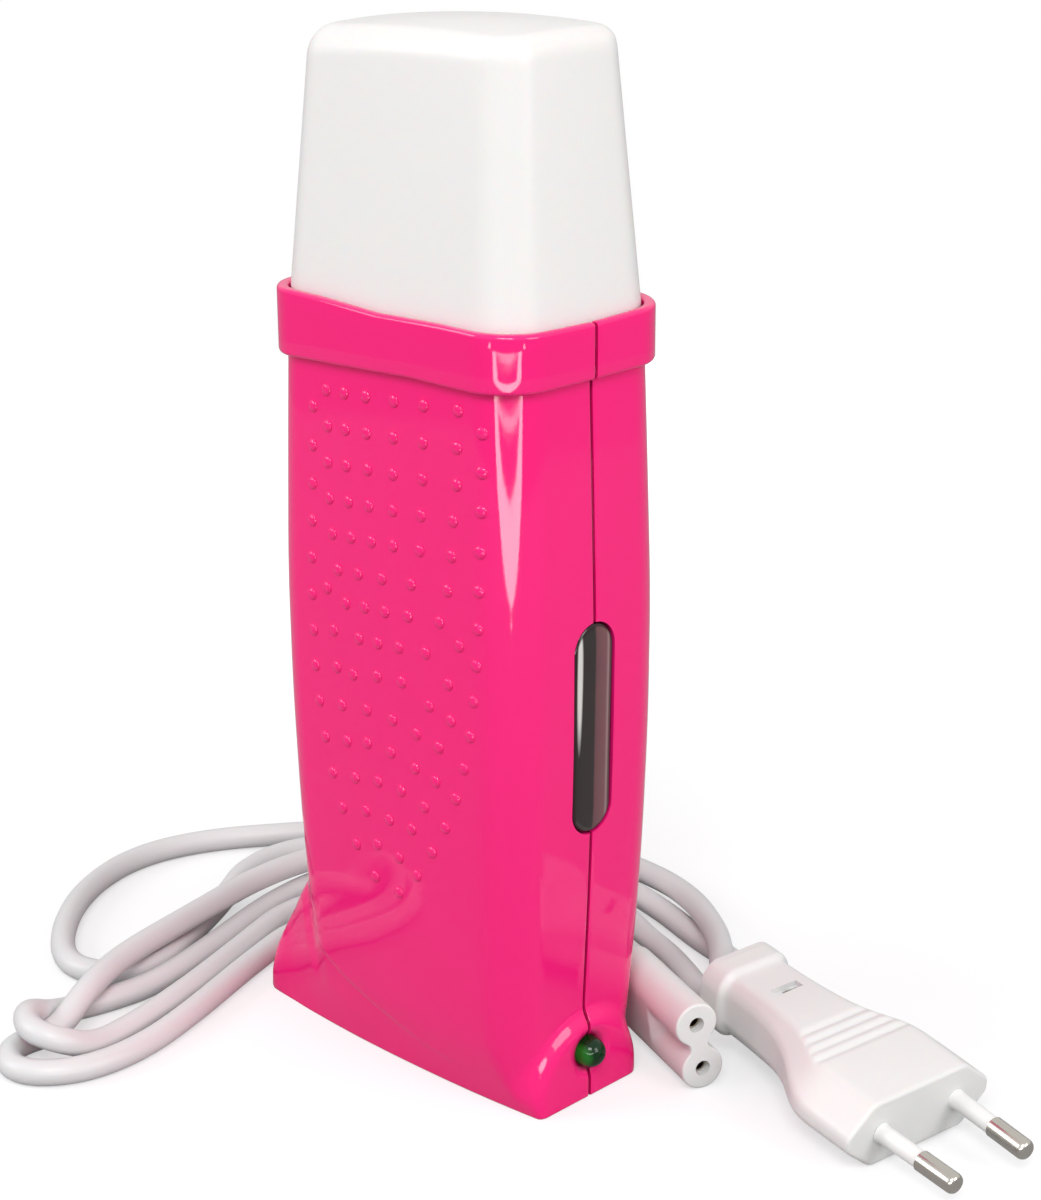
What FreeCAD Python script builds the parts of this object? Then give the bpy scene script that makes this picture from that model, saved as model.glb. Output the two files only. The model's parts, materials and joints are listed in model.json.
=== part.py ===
import FreeCAD, Part
import Sketcher
import math
import os
from FreeCAD import Vector as V

# Roll-on wax heater: two half shells round a warming chamber, a lift-off cap,
# a wax level window, an indicator lamp and a loose mains lead beside it.
# Millimetres, +Z up, floor at z = 0, origin under the middle of the heater.

doc = FreeCAD.newDocument("roll_on_wax_heater")
sheet = doc.addObject("Spreadsheet::Sheet", "sizes")
ROW = [1]


def size(name, value, note=""):
    r = ROW[0]
    sheet.set("A%d" % r, name.replace("_", " "))
    sheet.set("B%d" % r, repr(float(value)))
    sheet.set("C%d" % r, note)
    sheet.setAlias("B%d" % r, name)
    ROW[0] = r + 1
    return float(value)


# ---- sizes ---------------------------------------------------------------
axis_x = size("axis_x", 6.5, "tall body stands this far in front of the middle of the foot")
wall = size("wall", 2.0, "thickness of the moulded shells")
seam_w = size("seam_width", 0.7, "shadow groove where the two shells meet")
seam_d = size("seam_depth", 0.5, "depth of that groove")
side_bow = size("side_bow", 0.9, "how far the narrow sides bow outward")
face_bow = size("face_bow", 1.2, "how far the broad sides bow outward")

foot_mid = size("foot_middle", -7.5, "middle of the foot measured from the body axis")
foot_hx = size("foot_half_x", 39.5, "half length of the sole")
foot_hy = size("foot_half_y", 15.6, "half depth of the sole")
foot_r = size("foot_corner", 4.8, "corner radius of the sole")
foot_bow = size("foot_bow", 2.0, "bow of the long edges of the sole")
foot_top = size("foot_top", 40.0, "height at which the foot flanks end inside the body")
flank = size("flank_spread", 12.0, "how far the flanks lean outward by that height")
toe_wall = size("toe_wall", 5.6, "upright lip round the sole")
toe_top = size("toe_top", 34.5, "height where the back toe dies into the body")
toe_in = size("toe_inner", -30.6, "where the back toe dies into the body")
boss_x = size("boss_face", 32.0, "front face of the lamp boss")
boss_r = size("boss_radius", 12.2, "arch of the lamp boss")
boss_z = size("boss_arch_height", 4.0, "spring line of that arch")

col_hx = size("collar_half_x", 33.0, "outside of the collar band")
col_hy = size("collar_half_y", 22.2, "outside of the collar band")
col_r = size("collar_corner", 8.8, "collar corner radius")
col_z0 = size("collar_bottom", 140.9, "lower edge of the collar band")
col_z1 = size("collar_top", 151.6, "lip of the collar")
lip_fil = size("lip_round", 0.8, "rounding of the collar edges")
ledge_z = size("ledge_height", 143.2, "step inside the collar that carries the cap")
pocket_gap = size("cap_gap", 0.4, "shadow gap round the cap")

cap_hx = size("cap_half_x", 30.8, "cap outside, where it enters the collar")
cap_hy = size("cap_half_y", 20.0, "cap outside, where it enters the collar")
cap_r = size("cap_corner", 7.6, "cap corner radius")
cap_wall = size("cap_wall", 1.5, "cap wall")
cap_draft = size("cap_draft", 4.3, "how far each cap side leans in over its full height")
cap_loft_top = size("cap_loft_top", 205.0, "height to which the cap sides are drawn")
crown_z = size("crown_height", 200.5, "highest line of the cap top")
crown_x = size("crown_apex", 24.0, "where that highest line peaks")
crown_rx = size("crown_radius_x", 300.0, "crown radius along the cap")
crown_ry = size("crown_radius_y", 68.0, "crown radius across the cap")
cap_fil = size("cap_edge_round", 3.2, "rounding of the cap top edge")
cap_lift = size("cap_seat_gap", 0.1, "play between the cap rim and its step")

win_z = size("window_middle", 75.8, "middle height of the level window")
win_hw = size("window_half_width", 5.3, "window opening")
win_hh = size("window_half_height", 20.7, "window opening")
win_gap = size("window_gap", 0.3, "shadow gap round the window lens")
lens_face = size("lens_face", 32.0, "front of the window lens")
lens_back = size("lens_back", 30.2, "front of the lens flange")
lens_flange = size("lens_flange", 1.2, "thickness of the lens flange")
lens_round = size("lens_round", 1.1, "rounded edge of the lens")

lamp_z = size("lamp_height", 9.7, "height of the indicator lamp")
lamp_r = size("lamp_radius", 2.85, "lamp dome")
lamp_gap = size("lamp_gap", 0.25, "clearance round the lamp")
lamp_x = size("lamp_dome_start", 31.2, "where the lamp dome begins")

cham_hx = size("chamber_half_x", 27.6, "outside of the warming chamber")
cham_hy = size("chamber_half_y", 17.1, "outside of the warming chamber")
cham_r = size("chamber_corner", 6.0, "chamber corner radius")
cham_t = size("chamber_sheet", 0.7, "chamber sheet")
cham_y = size("chamber_offset", -1.0, "chamber sits this far toward the front shell")
cham_z0 = size("chamber_floor", 31.0, "underside of the chamber")
cham_z1 = size("chamber_rim", 142.2, "top of the chamber sheet")
cham_gap = size("chamber_gap", 0.3, "clearance between chamber and ribs")

film_t = size("film_thickness", 0.2, "insulation film")
ptc_t = size("ptc_thickness", 1.8, "heating element")
clip_t = size("clip_thickness", 0.5, "pressing spring")

inlet_z = size("inlet_height", 13.0, "middle height of the appliance inlet")
inlet_set = size("inlet_set_back", 8.0, "depth of the recess behind the end of the sole")
inlet_x = foot_mid - foot_hx + inlet_set
inlet_hy = size("inlet_half_y", 10.3, "inlet body")
inlet_hz = size("inlet_half_z", 5.6, "inlet body")
inlet_len = size("inlet_length", 16.0, "inlet body")
inlet_deep = size("inlet_depth", 13.0, "socket depth")
pole = size("pole_spacing", 8.6, "spacing of the two inlet poles")
lobe_r = size("lobe_radius", 3.9, "lobe of the two-pole connector")
lobe_gap = size("lobe_gap", 0.3, "clearance of the connector in the inlet")
inpin_r = size("inlet_pin_radius", 1.2, "inlet pin")

screw_r = size("screw_radius", 1.45, "shell screw shank")
screw_gap = size("screw_gap", 0.05, "clearance round the shank")
head_r = size("screw_head_radius", 2.8, "shell screw head")
bossr = size("screw_boss_radius", 3.6, "screw pillar")
screw_z = size("screw_height", 11.0, "height of the shell screws")
screw_dx = size("screw_half_pitch", 12.0, "half distance between the shell screws")

cord_d = size("cord_diameter", 5.2, "mains cord")
wire_d = size("wire_diameter", 1.4, "inside wires")
plug_spacing = size("plug_pin_spacing", 18.6, "pin spacing at the plug face")
plug_pin_r = size("plug_pin_radius", 2.0, "metal tip of a plug pin")
plug_core_r = size("plug_core_radius", 1.4, "metal core under the sleeve")
plug_sleeve_r = size("plug_sleeve_radius", 1.75, "outside of the sleeve, stepped below the tip")
plug_pin_len = size("plug_pin_length", 19.0, "pin length in front of the face")
plug_sleeve = size("plug_sleeve_length", 10.0, "insulated part of the pin")
plug_lean = size("plug_pin_lean", 1.66, "degrees each pin leans inward")
sheet.recompute()

# level name, height, half length, half depth, corner radius of the tall body
LEVELS = [("sole", 0.0, 30.2, 15.5, 6.0), ("tuck", 9.0, 30.4, 18.0, 7.2), ("ankle", 17.0, 30.5, 19.3, 7.8),
          ("shin", 30.0, 31.2, 20.4, 8.2), ("waist", 48.0, 32.1, 21.05, 8.3), ("belly", 72.0, 32.85, 21.45, 8.3),
          ("grip", 97.0, 33.0, 21.5, 8.3), ("chest", 124.0, 32.2, 21.05, 8.3), ("neck", 144.0, 31.6, 20.6, 8.3)]
for lev, z, hx, hy, r in LEVELS:
    size(lev + "_height", z)
    size(lev + "_half_x", hx)
    size(lev + "_half_y", hy)
    size(lev + "_corner", r)
sheet.recompute()


def S(name):
    return "sizes." + name


# ---- sketch and solid helpers ---------------------------------------------
def body(name, pose=None):
    b = doc.addObject("PartDesign::Body", name)
    b.Placement = pose if pose else FreeCAD.Placement(V(axis_x, 0, 0), FreeCAD.Rotation())
    return b


def plane(b, role):
    return [o for o in b.Origin.OriginFeatures if o.Role == role][0]


def sketch(b, role, offset=0.0, label=None, expr=None):
    sk = b.newObject("Sketcher::SketchObject", label or b.Name + "_sketch")
    sk.AttachmentSupport = [(plane(b, role), "")]
    sk.MapMode = "FlatFace"
    sk.AttachmentOffset = FreeCAD.Placement(V(0, 0, offset), FreeCAD.Rotation())
    if expr:
        sk.setExpression("AttachmentOffset.Base.z", expr)
    return sk


def value(expr):
    v = sheet.evalExpression(expr)
    return float(getattr(v, "Value", v))


def dim(sk, kind, args, name, expr):
    i = sk.addConstraint(Sketcher.Constraint(kind, *args, value(expr)))
    sk.renameConstraint(i, name)
    sk.setExpression("Constraints." + name, expr)


def bowed(sk, hx, hy, r, bx, by, ex, ey, er, ebx, eby, cx=0.0, ecx=None):
    # rounded rectangle whose four sides bow outward; eight tangent arcs
    ra = (hy * hy + bx * bx) / (2 * bx)
    rb = (hx * hx + by * by) / (2 * by)
    c1, c2 = hx - ra, hy - rb
    # corner centre: distance ra-r from (c1,0) and rb-r from (0,c2)
    x, y = hx - r, hy - r
    for _ in range(60):
        f = math.hypot(x - c1, y) - (ra - r)
        g = math.hypot(x, y - c2) - (rb - r)
        n1, n2 = math.hypot(x - c1, y), math.hypot(x, y - c2)
        a, b_, c, d = (x - c1) / n1, y / n1, x / n2, (y - c2) / n2
        det = a * d - b_ * c
        x, y = x - (f * d - g * b_) / det, y - (a * g - c * f) / det
    t1 = math.atan2(y, x - c1)
    t2 = math.atan2(y - c2, x)
    half = math.pi
    arcs = [(c1, 0, ra, -t1, t1), (x, y, r, t1, t2), (0, c2, rb, t2, half - t2),
            (-x, y, r, half - t2, half - t1), (-c1, 0, ra, half - t1, half + t1),
            (-x, -y, r, half + t1, half + t2), (0, -c2, rb, half + t2, 2 * half - t2),
            (x, -y, r, 2 * half - t2, 2 * half - t1)]
    for px, py, rr, a0, a1 in arcs:
        sk.addGeometry(Part.ArcOfCircle(Part.Circle(V(px + cx, py, 0), V(0, 0, 1), rr), a0, a1), False)
    con = []
    for i in range(8):
        con.append(Sketcher.Constraint("Tangent", i, 2, (i + 1) % 8, 1))
    con += [Sketcher.Constraint("Equal", 0, 4), Sketcher.Constraint("Equal", 2, 6),
            Sketcher.Constraint("Equal", 1, 3), Sketcher.Constraint("Equal", 1, 5),
            Sketcher.Constraint("Equal", 1, 7), Sketcher.Constraint("PointOnObject", 0, 3, -1)]
    sk.addConstraint(con)
    if cx == 0.0:
        sk.addConstraint([Sketcher.Constraint("Symmetric", 0, 3, 4, 3, -1, 1),
                          Sketcher.Constraint("PointOnObject", 2, 3, -2),
                          Sketcher.Constraint("Symmetric", 2, 3, 6, 3, -1, 1)])
        mid = "0"
    else:
        sk.addConstraint([Sketcher.Constraint("PointOnObject", 4, 3, -1),
                          Sketcher.Constraint("Symmetric", 2, 3, 6, 3, -1)])
        mid = ecx
        dim(sk, "DistanceX", (-1, 1, 2, 3), "middle", mid)
        dim(sk, "DistanceX", (4, 3, 2, 3), "other_side",
            "(({y})^2 + ({b})^2) / (2 * {b}) * -1 + {x}".format(x=ex, y=ey, b=ebx))
    r_side = "(({y})^2 + ({b})^2) / (2 * {b})".format(y=ey, b=ebx)
    r_face = "(({x})^2 + ({b})^2) / (2 * {b})".format(x=ex, b=eby)
    dim(sk, "Radius", (1,), "corner", er)
    dim(sk, "Radius", (0,), "side", r_side)
    dim(sk, "Radius", (2,), "face", r_face)
    if cx == 0.0:
        dim(sk, "DistanceX", (-1, 1, 0, 3), "half_length", "%s - %s" % (ex, r_side))
    else:
        dim(sk, "DistanceX", (2, 3, 0, 3), "half_length", "%s - %s" % (ex, r_side))
    dim(sk, "DistanceY", (-1, 1, 2, 3), "half_depth", "%s - %s" % (ey, r_face))


def loft(b, sketches, ruled=False):
    lf = b.newObject("PartDesign::AdditiveLoft", b.Name + "_loft")
    lf.Profile = sketches[0]
    lf.Sections = sketches[1:]
    lf.Ruled = ruled
    b.Tip = lf
    for s in sketches:
        s.Visibility = False
    return lf


def pad(b, sk, length, expr=None, midplane=False, reverse=False):
    p = b.newObject("PartDesign::Pad", b.Name + "_pad")
    p.Profile = sk
    p.Length = length
    if midplane:
        p.Midplane = True
    p.Reversed = reverse
    if expr:
        p.setExpression("Length", expr)
    b.Tip = p
    sk.Visibility = False
    return p


def polygon(sk, pts):
    n = len(pts)
    for i in range(n):
        a, c = pts[i], pts[(i + 1) % n]
        sk.addGeometry(Part.LineSegment(V(a[0], a[1], 0), V(c[0], c[1], 0)), False)
    sk.addConstraint([Sketcher.Constraint("Coincident", i, 2, (i + 1) % n, 1) for i in range(n)])


def pin_corners(sk, pts, exprs):
    # one X and one Y dimension from the sketch origin to each polygon corner
    for i, (e, p) in enumerate(zip(exprs, pts)):
        for axis, ex, val in (("X", e[0], p[0]), ("Y", e[1], p[1])):
            if abs(val) < 1e-9:
                sk.addConstraint(Sketcher.Constraint("PointOnObject", i, 1, -2 if axis == "X" else -1))
            else:
                dim(sk, "Distance" + axis, (-1, 1, i, 1), "corner%d%s" % (i, axis), ex)


def box(name, x0, x1, y0, y1, z0, z1):
    o = doc.addObject("Part::Box", name)
    o.Length, o.Width, o.Height = x1 - x0, y1 - y0, z1 - z0
    o.Placement = FreeCAD.Placement(V(x0 + axis_x, y0, z0), FreeCAD.Rotation())
    return o


def rod(name, p, direction, radius, length, expr=None, pose=None):
    o = doc.addObject("Part::Cylinder", name)
    o.Radius, o.Height = radius, length
    if expr:
        o.setExpression("Radius", expr)
    rot = FreeCAD.Rotation(V(0, 0, 1), V(*direction))
    local = FreeCAD.Placement(V(*p), rot)
    o.Placement = pose.multiply(local) if pose else FreeCAD.Placement(V(p[0] + axis_x, p[1], p[2]), rot)
    return o


def fuse(name, items):
    o = doc.addObject("Part::MultiFuse", name)
    o.Shapes = items
    return o


def common(name, items):
    o = doc.addObject("Part::MultiCommon", name)
    o.Shapes = items
    return o


def cut(name, base, tool):
    o = doc.addObject("Part::Cut", name)
    o.Base, o.Tool = base, tool
    return o


def stadium(sk, hw, hh, cy, ehw, ehh, ecy, across=False):
    # upright slot with round ends, centred on the sketch's vertical axis
    s = hh - hw
    if across:
        sk.addGeometry(Part.ArcOfCircle(Part.Circle(V(s, cy, 0), V(0, 0, 1), hw), -math.pi / 2, math.pi / 2), False)
        sk.addGeometry(Part.LineSegment(V(s, cy + hw, 0), V(-s, cy + hw, 0)), False)
        sk.addGeometry(Part.ArcOfCircle(Part.Circle(V(-s, cy, 0), V(0, 0, 1), hw), math.pi / 2, 3 * math.pi / 2), False)
        sk.addGeometry(Part.LineSegment(V(-s, cy - hw, 0), V(s, cy - hw, 0)), False)
    else:
        sk.addGeometry(Part.ArcOfCircle(Part.Circle(V(0, cy + s, 0), V(0, 0, 1), hw), 0, math.pi), False)
        sk.addGeometry(Part.LineSegment(V(-hw, cy + s, 0), V(-hw, cy - s, 0)), False)
        sk.addGeometry(Part.ArcOfCircle(Part.Circle(V(0, cy - s, 0), V(0, 0, 1), hw), math.pi, 2 * math.pi), False)
        sk.addGeometry(Part.LineSegment(V(hw, cy - s, 0), V(hw, cy + s, 0)), False)
    sk.addConstraint([Sketcher.Constraint("Tangent", i, 2, (i + 1) % 4, 1) for i in range(4)])
    sk.addConstraint(Sketcher.Constraint("Equal", 0, 2))
    if across:
        sk.addConstraint(Sketcher.Constraint("Horizontal", 1))
        dim(sk, "DistanceX", (-1, 1, 0, 3), "reach", "%s - %s" % (ehh, ehw))
        dim(sk, "DistanceX", (2, 3, -1, 1), "reach_back", "%s - %s" % (ehh, ehw))
        dim(sk, "DistanceY", (-1, 1, 0, 3), "level", ecy)
    else:
        sk.addConstraint(Sketcher.Constraint("PointOnObject", 0, 3, -2))
        sk.addConstraint(Sketcher.Constraint("PointOnObject", 2, 3, -2))
        dim(sk, "DistanceY", (-1, 1, 0, 3), "upper", "%s + %s - %s" % (ecy, ehh, ehw))
        dim(sk, "DistanceY", (-1, 1, 2, 3), "lower", "%s - %s + %s" % (ecy, ehh, ehw))
    dim(sk, "Radius", (0,), "end_radius", ehw)


# ---- outer form of the heater, drawn again further in for groove and cavity --
def tall_body(tag, off, eoff, z_low, e_low):
    b = body("tall_" + tag)
    sks = []
    for i, (lev, z, hx, hy, r) in enumerate(LEVELS):
        if i == 0:
            zz, ez = z_low, e_low
        else:
            zz, ez = z, S(lev + "_height")
        sk = sketch(b, "XY_Plane", zz, "tall_%s_%s" % (tag, lev), ez)
        bowed(sk, hx - off, hy - off, r - off, side_bow, face_bow, "%s - %s" % (S(lev + "_half_x"), eoff),
              "%s - %s" % (S(lev + "_half_y"), eoff), "%s - %s" % (S(lev + "_corner"), eoff),
              S("side_bow"), S("face_bow"))
        sks.append(sk)
    loft(b, sks, True)
    return b


def toe_block(tag, off, eoff, z_low, e_low):
    # the back toe slopes from the body down to the upright lip of the sole
    b = body("toe_" + tag)
    sk = sketch(b, "XZ_Plane", 0, "toe_%s_side" % tag)
    back = foot_mid - foot_hx + off
    eback = "%s - %s + %s" % (S("foot_middle"), S("foot_half_x"), eoff)
    pts = [(back, z_low), (back, toe_wall - off * 0.4), (toe_in + off, toe_top - off), (toe_in + 12, toe_top - off),
           (toe_in + 12, z_low)]
    ex = [(eback, e_low), (eback, "%s - %s * 0.4" % (S("toe_wall"), eoff)),
          ("%s + %s" % (S("toe_inner"), eoff), "%s - %s" % (S("toe_top"), eoff)),
          ("%s + 12" % S("toe_inner"), "%s - %s" % (S("toe_top"), eoff)), ("%s + 12" % S("toe_inner"), e_low)]
    polygon(sk, pts)
    pin_corners(sk, pts, ex)
    pad(b, sk, 2 * (18.6 - off), "2 * (18.6 - %s)" % eoff, midplane=True)
    return b


def foot_form(tag, off, eoff, z_low, e_low):
    # sole outline at the floor, leaning outward as it rises; trims the lower body
    b = body("foot_" + tag)
    low = sketch(b, "XY_Plane", z_low, "foot_%s_sole" % tag, e_low)
    bowed(low, foot_hx - off, foot_hy - off, foot_r - off, 0.4, foot_bow,
          "%s - %s" % (S("foot_half_x"), eoff), "%s - %s" % (S("foot_half_y"), eoff),
          "%s - %s" % (S("foot_corner"), eoff), "0.4", S("foot_bow"), foot_mid, S("foot_middle"))
    top = sketch(b, "XY_Plane", foot_top, "foot_%s_top" % tag, S("foot_top"))
    bowed(top, foot_hx + 1.5 - off, foot_hy + flank - off, foot_r + 3.2 - off, 0.4, foot_bow,
          "%s + 1.5 - %s" % (S("foot_half_x"), eoff), "%s + %s - %s" % (S("foot_half_y"), S("flank_spread"), eoff),
          "%s + 3.2 - %s" % (S("foot_corner"), eoff), "0.4", S("foot_bow"), foot_mid, S("foot_middle"))
    loft(b, [low, top], True)
    above = box("above_" + tag, -80, 80, -60, 60, foot_top - 0.2, 230)
    return fuse("keep_" + tag, [b, above])


def heater_form(tag, off, eoff, z_low=0.0, e_low="0"):
    parts = [tall_body(tag, off, eoff, z_low, e_low), toe_block(tag, off, eoff, z_low, e_low)]
    if off < 1.0:
        b = body("lampboss_" + tag)
        sk = sketch(b, "YZ_Plane", 10.0, "lampboss_%s_arch" % tag)
        r = boss_r - off
        er = "%s - %s" % (S("boss_radius"), eoff)
        sk.addGeometry(Part.ArcOfCircle(Part.Circle(V(0, boss_z, 0), V(0, 0, 1), r), 0, math.pi), False)
        sk.addGeometry(Part.LineSegment(V(-r, boss_z, 0), V(-r, z_low, 0)), False)
        sk.addGeometry(Part.LineSegment(V(-r, z_low, 0), V(r, z_low, 0)), False)
        sk.addGeometry(Part.LineSegment(V(r, z_low, 0), V(r, boss_z, 0)), False)
        sk.addConstraint([Sketcher.Constraint("Tangent", 0, 2, 1, 1), Sketcher.Constraint("Coincident", 1, 2, 2, 1),
                          Sketcher.Constraint("Coincident", 2, 2, 3, 1), Sketcher.Constraint("Tangent", 3, 2, 0, 1),
                          Sketcher.Constraint("Horizontal", 2), Sketcher.Constraint("PointOnObject", 0, 3, -2)])
        dim(sk, "Radius", (0,), "arch", er)
        dim(sk, "DistanceY", (-1, 1, 0, 3), "spring", S("boss_arch_height"))
        if z_low == 0.0:
            sk.addConstraint(Sketcher.Constraint("PointOnObject", 2, 1, -1))
        else:
            dim(sk, "DistanceY", (-1, 1, 2, 1), "base", e_low)
        pad(b, sk, boss_x - off - 10.0, "%s - %s - 10" % (S("boss_face"), eoff))
        parts.append(b)
    whole = fuse("form_whole_" + tag, parts)
    return common("form_" + tag, [whole, foot_form(tag, off, eoff, z_low, e_low)])


def flat_form(name, hx, hy, r, ehx, ehy, er, z0, ez0, height, eheight, y=0.0):
    b = body(name)
    if y:
        b.Placement = FreeCAD.Placement(V(axis_x, y, 0), FreeCAD.Rotation())
    sk = sketch(b, "XY_Plane", z0, name + "_outline", ez0)
    bowed(sk, hx, hy, r, side_bow, face_bow, ehx, ehy, er, S("side_bow"), S("face_bow"))
    pad(b, sk, height, eheight)
    return b


outer = heater_form("outer", 0.0, "0")
core = heater_form("core", seam_d, S("seam_depth"), seam_d, S("seam_depth"))
inner = heater_form("inner", wall, S("wall"), wall, S("wall"))

collar = flat_form("collar_band", col_hx, col_hy, col_r, S("collar_half_x"), S("collar_half_y"), S("collar_corner"),
                   col_z0, S("collar_bottom"), col_z1 - col_z0, "%s - %s" % (S("collar_top"), S("collar_bottom")))
doc.recompute()
band = collar.Tip
rim = []
for i, e in enumerate(band.Shape.Edges):
    zs = [v.Z for v in e.Vertexes]
    if max(zs) - min(zs) < 1e-4 and (abs(zs[0] - col_z1) < 1e-3 or abs(zs[0] - col_z0) < 1e-3):
        rim.append("Edge%d" % (i + 1))
fl = collar.newObject("PartDesign::Fillet", "collar_rounding")
fl.Base = (band, rim)
fl.Radius = lip_fil
fl.setExpression("Radius", S("lip_round"))
collar.Tip = fl

collar_core = flat_form("collar_core", col_hx - seam_d, col_hy - seam_d, col_r - seam_d,
                        "%s - %s" % (S("collar_half_x"), S("seam_depth")),
                        "%s - %s" % (S("collar_half_y"), S("seam_depth")),
                        "%s - %s" % (S("collar_corner"), S("seam_depth")), col_z0 + seam_d,
                        "%s + %s" % (S("collar_bottom"), S("seam_depth")), col_z1 - col_z0 - 2 * seam_d,
                        "%s - %s - 2 * %s" % (S("collar_top"), S("collar_bottom"), S("seam_depth")))
pk = (cap_hx + pocket_gap, cap_hy + pocket_gap, cap_r + pocket_gap)
pocket = flat_form("cap_pocket", pk[0], pk[1], pk[2], "%s + %s" % (S("cap_half_x"), S("cap_gap")),
                   "%s + %s" % (S("cap_half_y"), S("cap_gap")), "%s + %s" % (S("cap_corner"), S("cap_gap")),
                   ledge_z, S("ledge_height"), 20.0, "20")
rib_hole = flat_form("rim_rib_opening", cham_hx + cham_gap, cham_hy + cham_gap, cham_r + cham_gap,
                     "%s + %s" % (S("chamber_half_x"), S("chamber_gap")),
                     "%s + %s" % (S("chamber_half_y"), S("chamber_gap")),
                     "%s + %s" % (S("chamber_corner"), S("chamber_gap")), 120.0, "120", 40.0, "40", cham_y)

# cavity: the inner form, less the walls of the inlet recess, the screw pillars,
# the shelf under the chamber and the rib round its rim
rec_hy, rec_hz = inlet_hy + 0.3, inlet_hz + 0.3
recess_wall = box("recess_wall", -60, inlet_x + wall, -rec_hy - wall, rec_hy + wall,
                  inlet_z - rec_hz - wall, inlet_z + rec_hz + wall)
shelf_plate = box("shelf_plate", -25, 25, -30, 30, cham_z0 - 2.2, cham_z0 - 0.05)
shelf_hole = box("shelf_hole", -20.5, 20.5, -12.5, 12.5, cham_z0 - 3, cham_z0 + 1)
shelf_notch = box("shelf_notch", 2, 13, 10, 30, cham_z0 - 3, cham_z0 + 1)
shelf = cut("shelf", shelf_plate, fuse("shelf_openings", [shelf_hole, shelf_notch]))
rib_plate = box("rim_rib_plate", -40, 40, -30, 30, col_z0 - 1.2, cham_z1 - 1.05)
rim_rib = cut("rim_rib", rib_plate, rib_hole)
pillars = [rod("screw_pillar_%d" % i, (sx * screw_dx, -30, screw_z), (0, 1, 0), bossr, 60, S("screw_boss_radius"))
           for i, sx in enumerate((-1, 1))]
cavity = cut("cavity", inner, fuse("cavity_ribs", [recess_wall, shelf, rim_rib] + pillars))

# openings through the walls
recess = box("inlet_recess", -70, inlet_x, -rec_hy, rec_hy, inlet_z - rec_hz, inlet_z + rec_hz)
aperture = box("inlet_aperture", inlet_x - 1, inlet_x + wall + 1, -inlet_hy - 0.05, inlet_hy + 0.05,
               inlet_z - inlet_hz - 0.05, inlet_z + inlet_hz + 0.05)
win_tool = body("window_opening")
wsk = sketch(win_tool, "YZ_Plane", 27.0, "window_opening_outline")
stadium(wsk, win_hw, win_hh, win_z, S("window_half_width"), S("window_half_height"), S("window_middle"))
pad(win_tool, wsk, 12.0)
lamp_hole = rod("lamp_hole", (20, 0, lamp_z), (1, 0, 0), lamp_r + lamp_gap, 20,
                "%s + %s" % (S("lamp_radius"), S("lamp_gap")))
screw_holes = []
for i, sx in enumerate((-1, 1)):
    screw_holes.append(rod("screw_hole_%d" % i, (sx * screw_dx, -9.5, screw_z), (0, 1, 0), screw_r + screw_gap, 30,
                           "%s + %s" % (S("screw_radius"), S("screw_gap"))))
    screw_holes.append(rod("head_hole_%d" % i, (sx * screw_dx, 8.0, screw_z), (0, 1, 0), head_r + 0.3, 30,
                           "%s + 0.3" % S("screw_head_radius")))
slab = box("seam_slab", -80, 80, -seam_w / 2, seam_w / 2, -5, 160)
groove = cut("seam_groove", slab, fuse("seam_core", [core, collar_core]))

solid = fuse("shell_solid", [outer, collar])
openings = fuse("shell_openings", [cavity, pocket, recess, aperture, win_tool, lamp_hole, groove] + screw_holes)
shells = cut("shells_joined", solid, openings)
nodes = []


def node(name, item, label=None):
    item.Label = name
    nodes.append((name, item))
    return item


front_half = box("front_side", -90, 90, -60, 0, -10, 240)
rear_half = box("rear_side", -90, 90, 0, 60, -10, 240)
node("front_shell", common("front_shell_solid", [shells, front_half]))
node("rear_shell", common("rear_shell_solid", [shells, rear_half]))


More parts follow.
